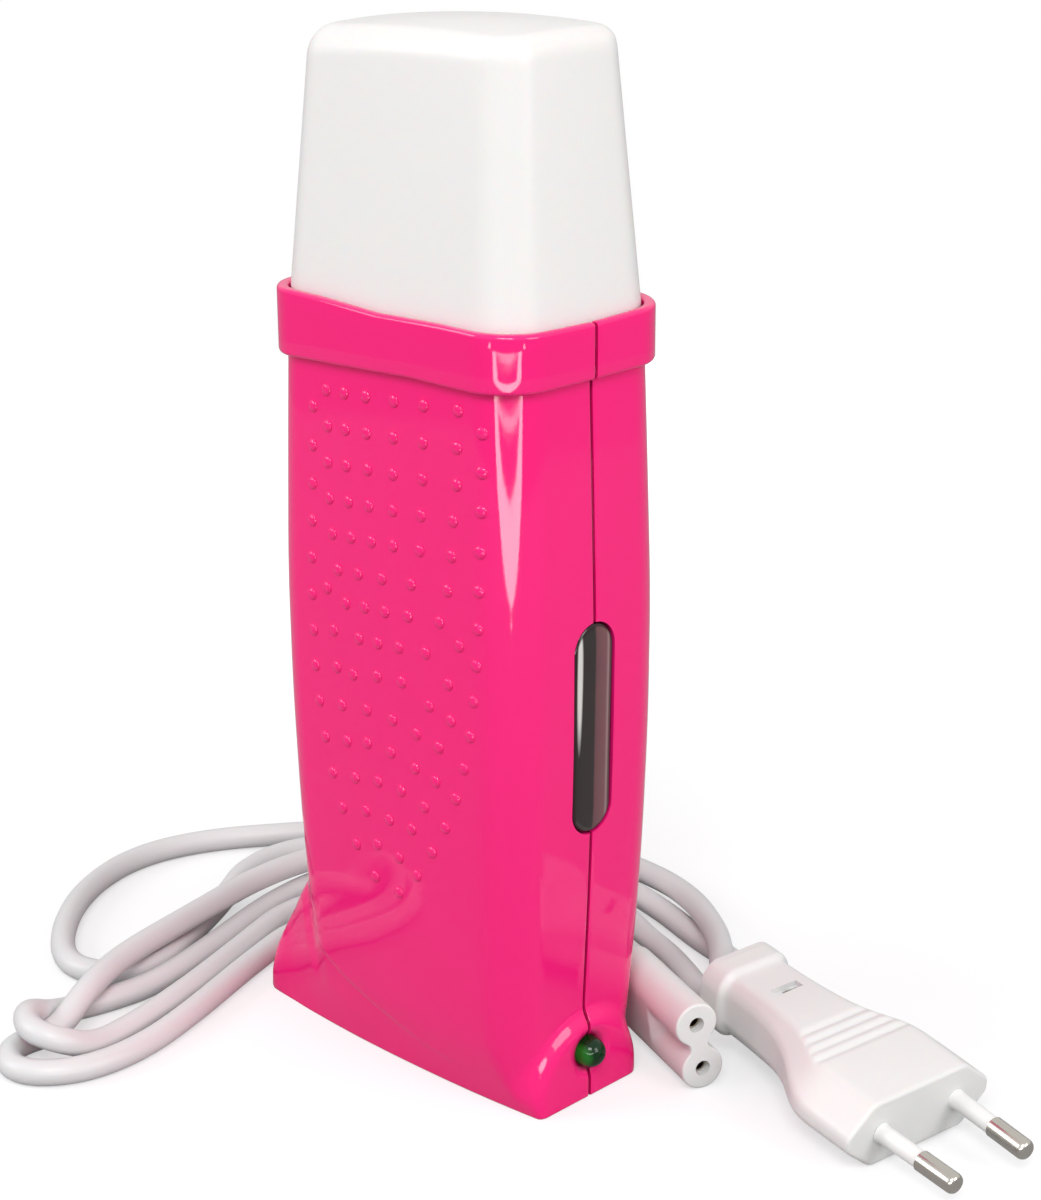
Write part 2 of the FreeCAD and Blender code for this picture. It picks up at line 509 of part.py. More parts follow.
# ---- cap ------------------------------------------------------------------
def cap_form(tag, off, eoff, z0, ez0, top, etop):
    b = body("capside_" + tag)
    sks = []
    span = cap_loft_top - col_z1
    for i, (z, ez, lean, elean) in enumerate(((z0, ez0, 0.0, "0"), (col_z1, S("collar_top"), 0.0, "0"),
                                              (cap_loft_top, S("cap_loft_top"), cap_draft, S("cap_draft")))):
        sk = sketch(b, "XY_Plane", z, "cap_%s_%d" % (tag, i), ez)
        bowed(sk, cap_hx - off - lean, cap_hy - off - lean, cap_r - off - lean * 0.35, side_bow, face_bow,
              "%s - %s - %s" % (S("cap_half_x"), eoff, elean), "%s - %s - %s" % (S("cap_half_y"), eoff, elean),
              "%s - %s - %s * 0.35" % (S("cap_corner"), eoff, elean), S("side_bow"), S("face_bow"))
        sks.append(sk)
    loft(b, sks, True)
    # barrel whose skin is the crowned top of the cap
    c = body("capcrown_" + tag)
    sk = sketch(c, "XZ_Plane", 0, "cap_%s_crown" % tag)
    sk.AttachmentOffset = FreeCAD.Placement(V(0, crown_z - crown_ry, 0), FreeCAD.Rotation())
    sk.setExpression("AttachmentOffset.Base.y", "%s - %s" % (S("crown_height"), S("crown_radius_y")))
    r, h = crown_rx - top, crown_ry - top
    er = "%s - %s" % (S("crown_radius_x"), etop)
    eh = "%s - %s" % (S("crown_radius_y"), etop)
    xa, xb = -44.0, 44.0
    za, zb = h - r + math.sqrt(r * r - (xa - crown_x) ** 2), h - r + math.sqrt(r * r - (xb - crown_x) ** 2)
    a0, a1 = math.atan2(zb - h + r, xb - crown_x), math.atan2(za - h + r, xa - crown_x)
    sk.addGeometry(Part.ArcOfCircle(Part.Circle(V(crown_x, r - h, 0), V(0, 0, 1), r), -a1, -a0), False)
    sk.addGeometry(Part.LineSegment(V(xb, -zb, 0), V(xb, 0, 0)), False)
    sk.addGeometry(Part.LineSegment(V(xb, 0, 0), V(xa, 0, 0)), False)
    sk.addGeometry(Part.LineSegment(V(xa, 0, 0), V(xa, -za, 0)), False)
    sk.addConstraint([Sketcher.Constraint("Coincident", i, 2, (i + 1) % 4, 1) for i in range(4)])
    sk.addConstraint([Sketcher.Constraint("Vertical", 1), Sketcher.Constraint("Vertical", 3),
                      Sketcher.Constraint("PointOnObject", 2, 1, -1), Sketcher.Constraint("PointOnObject", 2, 2, -1)])
    dim(sk, "DistanceX", (-1, 1, 2, 1), "right_end", "44")
    dim(sk, "DistanceX", (2, 2, -1, 1), "left_end", "44")
    dim(sk, "Radius", (0,), "crown", er)
    dim(sk, "DistanceX", (-1, 1, 0, 3), "apex", S("crown_apex"))
    dim(sk, "DistanceY", (-1, 1, 0, 3), "crown_centre", "%s - (%s)" % (er, eh))
    rev = c.newObject("PartDesign::Revolution", "cap_%s_barrel" % tag)
    rev.Profile = sk
    rev.ReferenceAxis = (sk, ["H_Axis"])
    rev.Angle = 360.0
    c.Tip = rev
    sk.Visibility = False
    return common("cap_form_" + tag, [b, c])


rim_z = ledge_z + cap_lift
cap_out = cap_form("out", 0.0, "0", rim_z, "%s + %s" % (S("ledge_height"), S("cap_seat_gap")), 0.0, "0")
cap_in = cap_form("in", cap_wall, S("cap_wall"), rim_z - 2, "%s - 2" % S("ledge_height"), cap_wall, S("cap_wall"))
doc.recompute()
top_edges = []
for i, e in enumerate(cap_out.Shape.Edges):
    zs = [v.Z for v in e.Vertexes] + [e.valueAt((e.FirstParameter + e.LastParameter) / 2).z]
    if min(zs) > 185 and max(zs) - min(zs) < 9:
        top_edges.append((i + 1, cap_fil, cap_fil))
cap_round = doc.addObject("Part::Fillet", "cap_rounded")
cap_round.Base = cap_out
cap_round.Edges = top_edges
node("cap", cut("cap_shell", cap_round, cap_in))

# ---- level window and indicator lamp ---------------------------------------
lens = body("window_lens")
lsk = sketch(lens, "YZ_Plane", lens_back - lens_flange, "lens_flange_outline",
             "%s - %s" % (S("lens_back"), S("lens_flange")))
stadium(lsk, win_hw + 1.7, win_hh + 1.7, win_z, "%s + 1.7" % S("window_half_width"),
        "%s + 1.7" % S("window_half_height"), S("window_middle"))
pad(lens, lsk, lens_flange, S("lens_flange"))
lsk2 = sketch(lens, "YZ_Plane", lens_back, "lens_outline", S("lens_back"))
stadium(lsk2, win_hw - win_gap, win_hh - win_gap, win_z, "%s - %s" % (S("window_half_width"), S("window_gap")),
        "%s - %s" % (S("window_half_height"), S("window_gap")), S("window_middle"))
p2 = lens.newObject("PartDesign::Pad", "lens_front")
p2.Profile = lsk2
p2.Length = lens_face - lens_back
p2.setExpression("Length", "%s - %s" % (S("lens_face"), S("lens_back")))
lens.Tip = p2
doc.recompute()
front_edges = ["Edge%d" % (i + 1) for i, e in enumerate(p2.Shape.Edges)
               if min(v.X for v in e.Vertexes) > lens_face - 1e-3]
lf = lens.newObject("PartDesign::Fillet", "lens_rounding")
lf.Base = (p2, front_edges)
lf.Radius = lens_round
lf.setExpression("Radius", S("lens_round"))
lens.Tip = lf
node("level_window", lens)

lamp_body = rod("lamp_body", (24.6, 0, lamp_z), (1, 0, 0), lamp_r, lamp_x - 24.6, S("lamp_radius"))
dome = doc.addObject("Part::Sphere", "lamp_dome")
dome.setExpression("Radius", S("lamp_radius"))
dome.Placement = FreeCAD.Placement(V(lamp_x + axis_x, 0, lamp_z), FreeCAD.Rotation())
lamp_rim = rod("lamp_rim", (24.6, 0, lamp_z), (1, 0, 0), lamp_r + 0.2, 1.2, "%s + 0.2" % S("lamp_radius"))
node("indicator_led", fuse("lamp_solid", [lamp_body, dome, lamp_rim]))
board = box("board_plate", 22.6, 24.0, -7, 7, wall + 0.4, 17.5)
leg_holes = [rod("lamp_leg_hole_%d" % i, (22.0, sy * 1.27, lamp_z), (1, 0, 0), 0.35, 3.0) for i, sy in enumerate((-1, 1))]
node("led_board", cut("board_drilled", board, fuse("board_holes", leg_holes)))
legs = [rod("lamp_leg_%d" % i, (22.2, sy * 1.27, lamp_z), (1, 0, 0), 0.3, 2.4) for i, sy in enumerate((-1, 1))]
node("led_leads", fuse("lamp_leg_pair", legs))
node("dropping_resistor", rod("resistor_body", (21.0, -4.0, 14.2), (0, 1, 0), 1.5, 8.0))

# ---- warming chamber, heater stack and thermal cut-out ----------------------
cham_out = flat_form("chamber_outside", cham_hx, cham_hy, cham_r, S("chamber_half_x"), S("chamber_half_y"),
                     S("chamber_corner"), cham_z0, S("chamber_floor"), cham_z1 - cham_z0,
                     "%s - %s" % (S("chamber_rim"), S("chamber_floor")), cham_y)
cham_in = flat_form("chamber_inside", cham_hx - cham_t, cham_hy - cham_t, cham_r - cham_t,
                    "%s - %s" % (S("chamber_half_x"), S("chamber_sheet")),
                    "%s - %s" % (S("chamber_half_y"), S("chamber_sheet")),
                    "%s - %s" % (S("chamber_corner"), S("chamber_sheet")), cham_z0 + cham_t,
                    "%s + %s" % (S("chamber_floor"), S("chamber_sheet")), 120.0, "120", cham_y)
flange = flat_form("chamber_flange", 29.2, 18.2, 5.6, "29.2", "18.2", "5.6", cham_z1 - 1.0,
                   "%s - 1" % S("chamber_rim"), 1.0, "1")
slot = box("chamber_slot", cham_hx - 3, cham_hx + 3, -3.4, 3.4, win_z - 18.5, win_z + 18.5)
node("warming_chamber", cut("chamber_sheet_metal", fuse("chamber_blank", [cham_out, flange]),
                            fuse("chamber_hollows", [cham_in, slot])))
back_y = cham_y + cham_hy
node("insulation_film", box("film_sheet", -17, 17, back_y, back_y + film_t, 50, 106))
node("heating_element", box("ptc_plate", -14, 14, back_y + film_t, back_y + film_t + ptc_t, 60, 96))
y0 = back_y + film_t + ptc_t
clip_plate = box("clip_plate", -15.5, 15.5, y0, y0 + clip_t, 57, 99)
clip_win = box("clip_window", -8, 8, y0 - 1, y0 + 2, 66, 90)
node("heater_clip", cut("clip_spring", clip_plate, clip_win))
node("thermal_cutout", rod("cutout_body", (-14, 4, cham_z0 - 1.95), (1, 0, 0), 1.8, 12))

# ---- appliance inlet ---------------------------------------------------------
in_body = box("inlet_block", inlet_x, inlet_x + inlet_len, -inlet_hy, inlet_hy, inlet_z - inlet_hz, inlet_z + inlet_hz)
in_flange = box("inlet_flange", inlet_x + wall + 0.05, inlet_x + wall + 1.6, -inlet_hy - 1.4, inlet_hy + 1.4,
                inlet_z - inlet_hz, inlet_z + inlet_hz)
in_tool = body("inlet_socket_opening")
isk = sketch(in_tool, "YZ_Plane", inlet_x - 1, "inlet_socket_outline",
             "%s - %s + %s - 1" % (S("foot_middle"), S("foot_half_x"), S("inlet_set_back")))
stadium(isk, lobe_r + lobe_gap, lobe_r + lobe_gap + pole / 2, inlet_z, "%s + %s" % (S("lobe_radius"), S("lobe_gap")),
        "%s + %s + %s / 2" % (S("lobe_radius"), S("lobe_gap"), S("pole_spacing")), S("inlet_height"), True)
pad(in_tool, isk, inlet_deep + 1, "%s + 1" % S("inlet_depth"))
pins, bores = [], []
for i, sy in enumerate((-1, 1)):
    p = (inlet_x + inlet_deep - 8.5, sy * pole / 2, inlet_z)
    pins.append(rod("inlet_pin_%d" % i, p, (1, 0, 0), inpin_r, 14.5, S("inlet_pin_radius")))
    bores.append(rod("inlet_pin_bore_%d" % i, p, (1, 0, 0), inpin_r, 20, S("inlet_pin_radius")))
node("appliance_inlet", cut("inlet_moulding", fuse("inlet_blank", [in_body, in_flange]),
                            fuse("inlet_hollows", [in_tool] + bores)))
node("inlet_pins", fuse("inlet_pin_pair", pins))

# ---- shell screws -------------------------------------------------------------
screws = []
for i, sx in enumerate((-1, 1)):
    screws.append(rod("screw_shank_%d" % i, (sx * screw_dx, -8.5, screw_z), (0, 1, 0), screw_r, 16.6,
                      S("screw_radius")))
    hd = rod("screw_head_%d" % i, (sx * screw_dx, 8.0, screw_z), (0, 1, 0), head_r, 1.8, S("screw_head_radius"))
    xa = box("screw_slot_a_%d" % i, sx * screw_dx - 1.6, sx * screw_dx + 1.6, 9.0, 11, screw_z - 0.3, screw_z + 0.3)
    xb = box("screw_slot_b_%d" % i, sx * screw_dx - 0.3, sx * screw_dx + 0.3, 9.0, 11, screw_z - 1.6, screw_z + 1.6)
    screws.append(cut("screw_top_%d" % i, hd, fuse("screw_cross_%d" % i, [xa, xb])))
node("shell_screws", fuse("screw_pair", screws))


# ---- round things that follow a route ------------------------------------------
def route_wire(points):
    # straight runs joined by tangent arcs
    pts = [V(*p) for p in points]
    edges, start, least = [], pts[0], 1e9
    for i in range(1, len(pts) - 1):
        a, b, c = pts[i - 1], pts[i], pts[i + 1]
        u, w = (b - a), (c - b)
        lu, lw = u.Length, w.Length
        u, w = u.normalize(), w.normalize()
        turn = math.acos(max(-1, min(1, u.dot(w))))
        t = 0.45 * min(lu, lw)
        least = min(least, t / math.tan(turn / 2))
        p, q = b - u * t, b + w * t
        bis = (w - u)
        bis.normalize()
        rad = t / math.tan(turn / 2)
        mid = b + bis * (rad / math.cos(turn / 2) - rad)
        edges.append(Part.LineSegment(start, p).toShape())
        edges.append(Part.Arc(p, mid, q).toShape())
        start = q
    edges.append(Part.LineSegment(start, pts[-1]).toShape())
    return Part.Wire(edges), least


def tube_shape(points, diameter, label):
    path, least = route_wire(points)
    d = (V(*points[1]) - V(*points[0])).normalize()
    ring = Part.Wire([Part.makeCircle(diameter / 2, V(*points[0]), d)])
    sh = path.makePipeShell([ring], True, True)
    if not sh.Solids:
        sh = Part.Solid(sh)
    want = math.pi * diameter * diameter / 4 * path.Length
    print("%s: length %.1f, smallest bend radius %.1f, volume %.0f of %.0f" % (label, path.Length, least, sh.Volume, want))
    return sh


def tube(name, routes, expr):
    d = float(sheet.get(expr))
    made = [tube_shape([(p[0] + axis_x, p[1], p[2]) for p in r], d, name) for r in routes]
    o = doc.addObject("Part::Feature", name + "_solid")
    o.Shape = made[0] if len(made) == 1 else Part.makeCompound(made)
    o.Placement = FreeCAD.Placement()
    return o


tab = inlet_x + inlet_deep + 6.2
cz = cham_z0 - 1.95
node("live_wire", tube("live_wire", [
    [(tab, 4.3, inlet_z), (tab + 4, 4.4, inlet_z + 2.5), (tab + 3, 4.2, inlet_z + 10), (tab + 0.6, 4.0, cz - 1.2),
     (-14.1, 4.0, cz)],
    [(-1.9, 4, cz), (1, 4.6, cz - 0.3), (5, 13.5, 25.5), (6, 17.4, 29.2), (6.2, 17.4, 42), (6, 17.3, 59.9)]],
    "wire_diameter"))
node("neutral_wire", tube("neutral_wire", [
    [(tab, -4.3, inlet_z), (tab + 7, -4.6, inlet_z + 3.5), (-2, 0, 21), (6, 9, 22.5), (9.8, 17.45, 28.6),
     (10.2, 17.4, 42), (10, 17.3, 59.9)]], "wire_diameter"))
node("led_wires", tube("led_wires", [
    [(22.25, 4.5, 8), (19.5, 4.6, 9.5), (16.5, 5.2, 17), (6, 4.6, 20), (-8, 7.6, 19), (tab + 3, 7.5, inlet_z + 5), (tab + 0.5, 5.9, inlet_z + 1)],
    [(22.25, -5.5, 8), (19.5, -5.7, 9.5), (17.5, -6.5, 17), (5, -7, 19), (tab + 5, -8.2, inlet_z + 3), (tab + 0.5, -5.9, inlet_z + 1)]],
    "wire_diameter"))


# ---- loose mains lead: connector, cord, plug -------------------------------------
def pose_of(x, y, z, yaw, pitch, roll=0.0):
    rot = FreeCAD.Rotation(yaw, -pitch, roll)
    return FreeCAD.Placement(V(x + axis_x, y, z), rot)


con_pose = pose_of(43.8, 19.6, 8.35, -10.0, 0.0)
con_len = size("connector_length", 27.0, "connector body behind its face")
con_neck = size("connector_relief", 11.0, "moulded relief behind the connector body")
con = body("connector_form", con_pose)
csk = sketch(con, "YZ_Plane", -con_len, "connector_outline", "-" + S("connector_length"))
s = pole / 2
csk.addGeometry(Part.ArcOfCircle(Part.Circle(V(0, s, 0), V(0, 0, 1), lobe_r), 0, math.pi), False)
csk.addGeometry(Part.LineSegment(V(-lobe_r, s, 0), V(-lobe_r, -s, 0)), False)
csk.addGeometry(Part.ArcOfCircle(Part.Circle(V(0, -s, 0), V(0, 0, 1), lobe_r), math.pi, 2 * math.pi), False)
csk.addGeometry(Part.LineSegment(V(lobe_r, -s, 0), V(lobe_r, s, 0)), False)
csk.addConstraint([Sketcher.Constraint("Tangent", i, 2, (i + 1) % 4, 1) for i in range(4)])
csk.addConstraint([Sketcher.Constraint("Equal", 0, 2), Sketcher.Constraint("PointOnObject", 0, 3, -2),
                   Sketcher.Constraint("Symmetric", 0, 3, 2, 3, -1, 1)])
dim(csk, "Radius", (0,), "lobe", S("lobe_radius"))
dim(csk, "DistanceY", (-1, 1, 0, 3), "half_pole", S("pole_spacing") + " / 2")
sheet.recompute()
pad(con, csk, con_len, S("connector_length"))
doc.recompute()
waist_cut = []
for i, sy in enumerate((-1, 1)):
    w = doc.addObject("Part::Box", "connector_waist_%d" % i)
    w.Length, w.Width, w.Height = 16.0, 2.0, 2.6
    w.Placement = con_pose.multiply(FreeCAD.Placement(V(-15.9, sy * (lobe_r + 0.1) - 1.0, -1.3), FreeCAD.Rotation()))
    waist_cut.append(w)
sockets, contacts, backs = [], [], []
for i, sz in enumerate((-1, 1)):
    p = (-9.5, 0, sz * pole / 2)
    sockets.append(rod("connector_bore_%d" % i, p, (1, 0, 0), 1.55, 10, None, con_pose))
    tube_out = rod("contact_outer_%d" % i, (-9.4, 0, sz * pole / 2), (1, 0, 0), 1.5, 8.4, None, con_pose)
    tube_in = rod("contact_inner_%d" % i, (-9.0, 0, sz * pole / 2), (1, 0, 0), 1.22, 9.0, None, con_pose)
    contacts.append(cut("contact_%d" % i, tube_out, tube_in))
node("connector_body", cut("connector_moulding", con, fuse("connector_hollows", waist_cut + sockets)))
node("connector_contacts", fuse("contact_pair", contacts))
rel = doc.addObject("Part::Cone", "relief_cone")
rel.Radius1, rel.Radius2, rel.Height = 3.6, cord_d / 2 + 0.7, con_neck
rel.setExpression("Height", S("connector_relief"))
rel.Placement = con_pose.multiply(FreeCAD.Placement(V(-con_len, 0, 0), FreeCAD.Rotation(V(0, 0, 1), V(-1, 0, 0))))
rel_bore = rod("relief_bore", (-con_len - con_neck - 1, 0, 0), (1, 0, 0), cord_d / 2, con_neck - 3, None, con_pose)
node("connector_relief", cut("relief_moulding", rel, rel_bore))

plug_pose = pose_of(88.7, 27.9, 7.35, -9.45, -5.72, 2.0)
PLUG = [(0.0, 17.6, 11.4, 6.85, 1.4), (-13.0, 17.6, 11.8, 6.95, 1.6), (-17.5, 16.0, 11.0, 7.0, 2.2),
        (-25.0, 11.4, 7.6, 7.1, 3.2), (-34.0, 8.4, 6.2, 7.0, 4.2), (-47.4, 7.8, 6.0, 6.6, 4.0)]
flange_rear = size("plug_length", 52.8, "plug face to the back of its flange")


def octagon(sk, w, wt, h, hs):
    polygon(sk, [(w, hs), (wt, h), (-wt, h), (-w, hs), (-w, -hs), (-wt, -h), (wt, -h), (w, -hs)])
    sk.addConstraint([Sketcher.Constraint("Symmetric", 0, 1, 3, 1, -2), Sketcher.Constraint("Symmetric", 1, 1, 2, 1, -2),
                      Sketcher.Constraint("Symmetric", 0, 1, 7, 1, -1), Sketcher.Constraint("Symmetric", 1, 1, 6, 1, -1),
                      Sketcher.Constraint("Symmetric", 3, 1, 4, 1, -1), Sketcher.Constraint("Symmetric", 2, 1, 5, 1, -1)])
    for nm, kind, pt, val in (("wide", "DistanceX", 0, w), ("step", "DistanceY", 0, hs), ("top", "DistanceX", 1, wt),
                              ("tall", "DistanceY", 1, h)):
        i = sk.addConstraint(Sketcher.Constraint(kind, -1, 1, pt, 1, val))
        sk.renameConstraint(i, nm)


pl = body("plug_form", plug_pose)
sks = []
for i, (u, w, wt, h, hs) in enumerate(PLUG):
    sk = sketch(pl, "YZ_Plane", u, "plug_section_%d" % i)
    octagon(sk, w, wt, h, hs)
    sks.append(sk)
loft(pl, sks, True)
fsk = sketch(pl, "YZ_Plane", -flange_rear, "plug_flange_outline", "-" + S("plug_length"))
octagon(fsk, 9.1, 6.6, 7.5, 4.6)
fp = pl.newObject("PartDesign::Pad", "plug_flange")
fp.Profile = fsk
fp.Length = 5.6
pl.Tip = fp
sheet.recompute()
hollows, pins, sleeves = [], [], []
for i, sy in enumerate((-1, 1)):
    lean = FreeCAD.Placement(V(0, sy * plug_spacing / 2, 0), FreeCAD.Rotation(V(0, 0, 1), -sy * plug_lean))
    pp = plug_pose.multiply(lean)
    hollows.append(rod("pin_seat_%d" % i, (-14, 0, 0), (1, 0, 0), plug_core_r, 20, S("plug_core_radius"), pp))
    hollows.append(rod("sleeve_seat_%d" % i, (-2, 0, 0), (1, 0, 0), plug_sleeve_r, 4, S("plug_sleeve_radius"), pp))
    rod_in = rod("pin_core_%d" % i, (-14, 0, 0), (1, 0, 0), plug_core_r, 14 + plug_sleeve + 1, S("plug_core_radius"), pp)
    tip = rod("pin_tip_%d" % i, (plug_sleeve, 0, 0), (1, 0, 0), plug_pin_r, plug_pin_len - plug_sleeve - 0.8,
              S("plug_pin_radius"), pp)
    nose = doc.addObject("Part::Cone", "pin_nose_%d" % i)
    nose.Radius1, nose.Radius2, nose.Height = plug_pin_r, plug_pin_r - 0.8, 0.8
    nose.setExpression("Radius1", S("plug_pin_radius"))
    nose.Placement = pp.multiply(FreeCAD.Placement(V(plug_pin_len - 0.8, 0, 0), FreeCAD.Rotation(V(0, 0, 1), V(1, 0, 0))))
    pins += [rod_in, tip, nose]
    so = rod("sleeve_outer_%d" % i, (-2, 0, 0), (1, 0, 0), plug_sleeve_r, plug_sleeve + 2, S("plug_sleeve_radius"), pp)
    si = rod("sleeve_inner_%d" % i, (-3, 0, 0), (1, 0, 0), plug_core_r, plug_sleeve + 4, S("plug_core_radius"), pp)
    sleeves.append(cut("pin_sleeve_%d" % i, so, si))
cord_seat = rod("cord_seat", (-flange_rear - 1, 0, 0), (1, 0, 0), cord_d / 2, 7, S("cord_diameter") + " / 2", plug_pose)
node("plug_body", cut("plug_moulding", pl, fuse("plug_hollows", hollows + [cord_seat])))
node("plug_pins", fuse("plug_pin_pair", pins))
node("pin_sleeves", fuse("pin_sleeve_pair", sleeves))

a = con_pose.multVec(V(-con_len - con_neck + 4, 0, 0))
a2 = con_pose.multVec(V(-con_len - con_neck - 4, 0, 0))
z1 = plug_pose.multVec(V(-flange_rear + 6, 0, 0))
z2 = plug_pose.multVec(V(-flange_rear - 3.5, 0, 0))
rest = cord_d / 2
up = rest + cord_d + 0.1
CORD = [(a.x - axis_x, a.y, a.z), (a2.x - axis_x, a2.y, a2.z),
        # from the connector behind the heater, round its toe, to the front left
        (-12, 29.2, 5.0), (-30, 31.5, rest), (-48, 24, rest), (-58.5, 6, rest), (-52.4, -14, rest), (-45, -34, rest),
        (-40.5, -50, rest), (-41, -63, rest), (-46.5, -71.5, rest), (-53.5, -73.6, rest), (-59.3, -68, rest),
        # under the tip of the next fold, over its far side and away behind the heater
        (-56.6, -59.2, 3.2), (-59.5, -49.5, 8.2), (-66, -36, 8.0), (-70.5, -14, up), (-75, 8, up), (-73.5, 27, up),
        (-61.5, 43, up), (-46, 50.5, 4.8), (-28, 53.5, rest), (-9, 48.9, rest), (0.5, 42.9, rest), (9, 38.9, rest),
        (9.4, 31.6, rest), (3, 28, rest), (-6.3, 33.2, rest), (-16, 39.5, rest), (-29, 43.5, rest),
        (-46, 38.5, rest), (-60.5, 26, rest), (-66.6, 9.5, rest), (-59.6, -10, rest), (-52.8, -30, rest),
        (-48.6, -47, rest), (-46.3, -58, 3.6), (-47.2, -65.6, 7.4), (-53.9, -68.3, 8.4), (-60.4, -64, 8.4),
        (-63.6, -55.8, 3.2), (-61.2, -44.5, rest), (-59.8, -32, rest), (-64.5, -14, rest), (-71.2, 6.5, rest),
        (-73, 24, rest), (-67.5, 42.5, rest), (-52, 57, rest), (-30, 62.8, rest), (-11, 57.4, rest),
        (-2, 51.6, rest), (6, 47.4, rest), (13.6, 42.9, rest), (20.2, 46.4, rest), (20.2, 53.6, rest),
        (9, 59.4, rest), (-8, 65.7, rest), (-28, 69.5, rest), (-52, 66.5, rest), (-72, 54, rest), (-88.5, 34, rest),
        (-90, 17, rest), (-80, 2, rest), (-72, -14, rest), (-66, -27, rest), (-69.6, -37.3, rest), (-80.5, -40.3, rest),
        (-94.5, -30.7, rest), (-106.5, -15.5, rest), (-112, 2.2, rest), (-107.5, 19.5, rest), (-95, 37, rest),
        (-80, 56.5, rest), (-56, 73, rest), (-31, 77.5, rest), (-12, 73, 5.0), (3, 65, 7.6), (16, 55.6, 9.2),
        (26, 45.5, 11.6), (z2.x - axis_x, z2.y, z2.z), (z1.x - axis_x, z1.y, z1.z)]
node("mains_cord", tube("mains_cord", [CORD], "cord_diameter"))

# ---- check and export ---------------------------------------------------------------
doc.recompute()
os.makedirs("parts", exist_ok=True)
bad = [o.Name for o in doc.Objects if "Invalid" in o.State or "Error" in o.State]
print("bad objects:", bad)
total = FreeCAD.BoundBox()
for name, item in nodes:
    sh = item.Shape
    ok = (not sh.isNull()) and sh.isValid() and sh.Volume > 0
    bb = sh.BoundBox
    if not name.startswith(("mains", "plug", "pin_", "connector")):
        total.add(bb)
    print("%-20s %s solids %d volume %9.1f  x %.1f..%.1f y %.1f..%.1f z %.1f..%.1f" % (
        name, "ok " if ok else "BAD", len(sh.Solids), sh.Volume, bb.XMin, bb.XMax, bb.YMin, bb.YMax, bb.ZMin, bb.ZMax))
    sh.exportStep("parts/%s.step" % name)
print("heater box x %.2f..%.2f y %.2f..%.2f z %.2f..%.2f" % (total.XMin, total.XMax, total.YMin, total.YMax,
                                                            total.ZMin, total.ZMax))
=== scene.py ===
import bmesh
import bpy
import json
import math
import numpy as np
from mathutils import Matrix, Vector


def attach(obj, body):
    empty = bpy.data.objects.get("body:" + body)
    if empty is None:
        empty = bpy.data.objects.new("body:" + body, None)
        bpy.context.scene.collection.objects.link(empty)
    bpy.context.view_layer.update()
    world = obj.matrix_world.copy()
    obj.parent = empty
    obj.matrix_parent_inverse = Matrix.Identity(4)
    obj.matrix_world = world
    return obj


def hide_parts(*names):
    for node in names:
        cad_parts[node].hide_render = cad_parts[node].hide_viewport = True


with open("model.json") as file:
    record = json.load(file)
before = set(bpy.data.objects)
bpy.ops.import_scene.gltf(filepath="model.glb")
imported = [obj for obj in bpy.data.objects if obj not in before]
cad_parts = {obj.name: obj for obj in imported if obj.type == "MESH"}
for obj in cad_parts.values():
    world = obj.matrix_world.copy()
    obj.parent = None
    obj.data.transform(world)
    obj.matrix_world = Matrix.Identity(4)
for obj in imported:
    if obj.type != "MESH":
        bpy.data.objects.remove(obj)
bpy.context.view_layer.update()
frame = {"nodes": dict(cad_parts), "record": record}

# ---- Half shells ----
# Two injection-moulded ABS halves of one tall bowed body on a toed foot, with a high
# gloss straight from the tool. They meet on a lengthwise seam with a shadow groove,
# and carry the collar, the window opening, the lamp boss and the inlet recess.
MM = 0.001
# lengths are millimetres about the body's own upright axis, which stands at AXIS_X
AXIS_X = 6.5
SEAM_GAP = 0.06
SEAM_HALF = 0.34
SEAM_DEEP = 0.53
WALL = 2.0
TOE_END = -47.0
TOE_LIP = 5.6
TOE_HALF = 16.6
TOE_SLOPE = (-0.870, 0.494)
BOSS_FACE = 32.3
BOSS_RADIUS = 14.2
BOSS_AXIS = 2.6
DISH_X = 37.6
DISH_RADIUS = 7.0
LAMP_HEIGHT = 9.7
LAMP_BORE = 3.1
INLET_HEIGHT = 13.0
# x from and to, half width, half height and corner of the recess and of the inlet's seat behind it
INLET_STEPS = ((-70, -39, 10.6, 5.9, 1.2), (-41, -30, 10.35, 5.65, 0.3))
WINDOW_HEIGHT = 75.8
WINDOW_HALF_WIDTH = 5.3
WINDOW_HALF_HEIGHT = 20.7
# half x, half y and corner of the collar, the pocket for the cap's rim, and the chamber's mouth
COLLAR = (33.0, 22.2, 8.8)
POCKET = (31.2, 20.4, 8.0)
MOUTH = (27.9, 17.4, 6.3)
COLLAR_BASE = 141.1
COLLAR_TOP = 151.3
COLLAR_EDGE = 0.8
LIP_EDGE = 0.55
SOLE_EDGE = 0.55
POCKET_FLOOR = 143.2
MOUTH_FOOT = 139.7
FINE_TOP = 46
SCREW_BORE = 3.1
SCREW_PLACES = [(AXIS_X + s * 12, 0, 11) for s in (-1, 1)]
ALONG_Y = Matrix.Rotation(math.pi / 2, 4, "Z")
#                        z   half x half y corner
BODY_LEVELS = np.array(((-12, 29.9, 12.2, 4.4), (0, 30.2, 15.5, 6.0), (9, 30.4, 18.0, 7.2), (17, 30.5, 19.3, 7.8),
                        (30, 31.2, 20.4, 8.2), (48, 32.1, 21.05, 8.3), (72, 32.85, 21.45, 8.3),
                        (97, 33.0, 21.5, 8.3), (124, 32.2, 21.05, 8.3), (144, 31.6, 20.6, 8.3),
                        (160, 31.2, 20.3, 8.3)))
#                    x      z of the crease low on the broad sides
CREASE = np.array(((-31.0, 33.0), (-29.0, 28.5), (-27.5, 23.6), (-23.5, 18.7), (-16.8, 14.8), (-10.2, 12.2),
                   (-1.9, 9.6), (4.8, 7.8), (11.2, 6.8), (15.6, 6.2)))
CREASE_STEP = 0.4


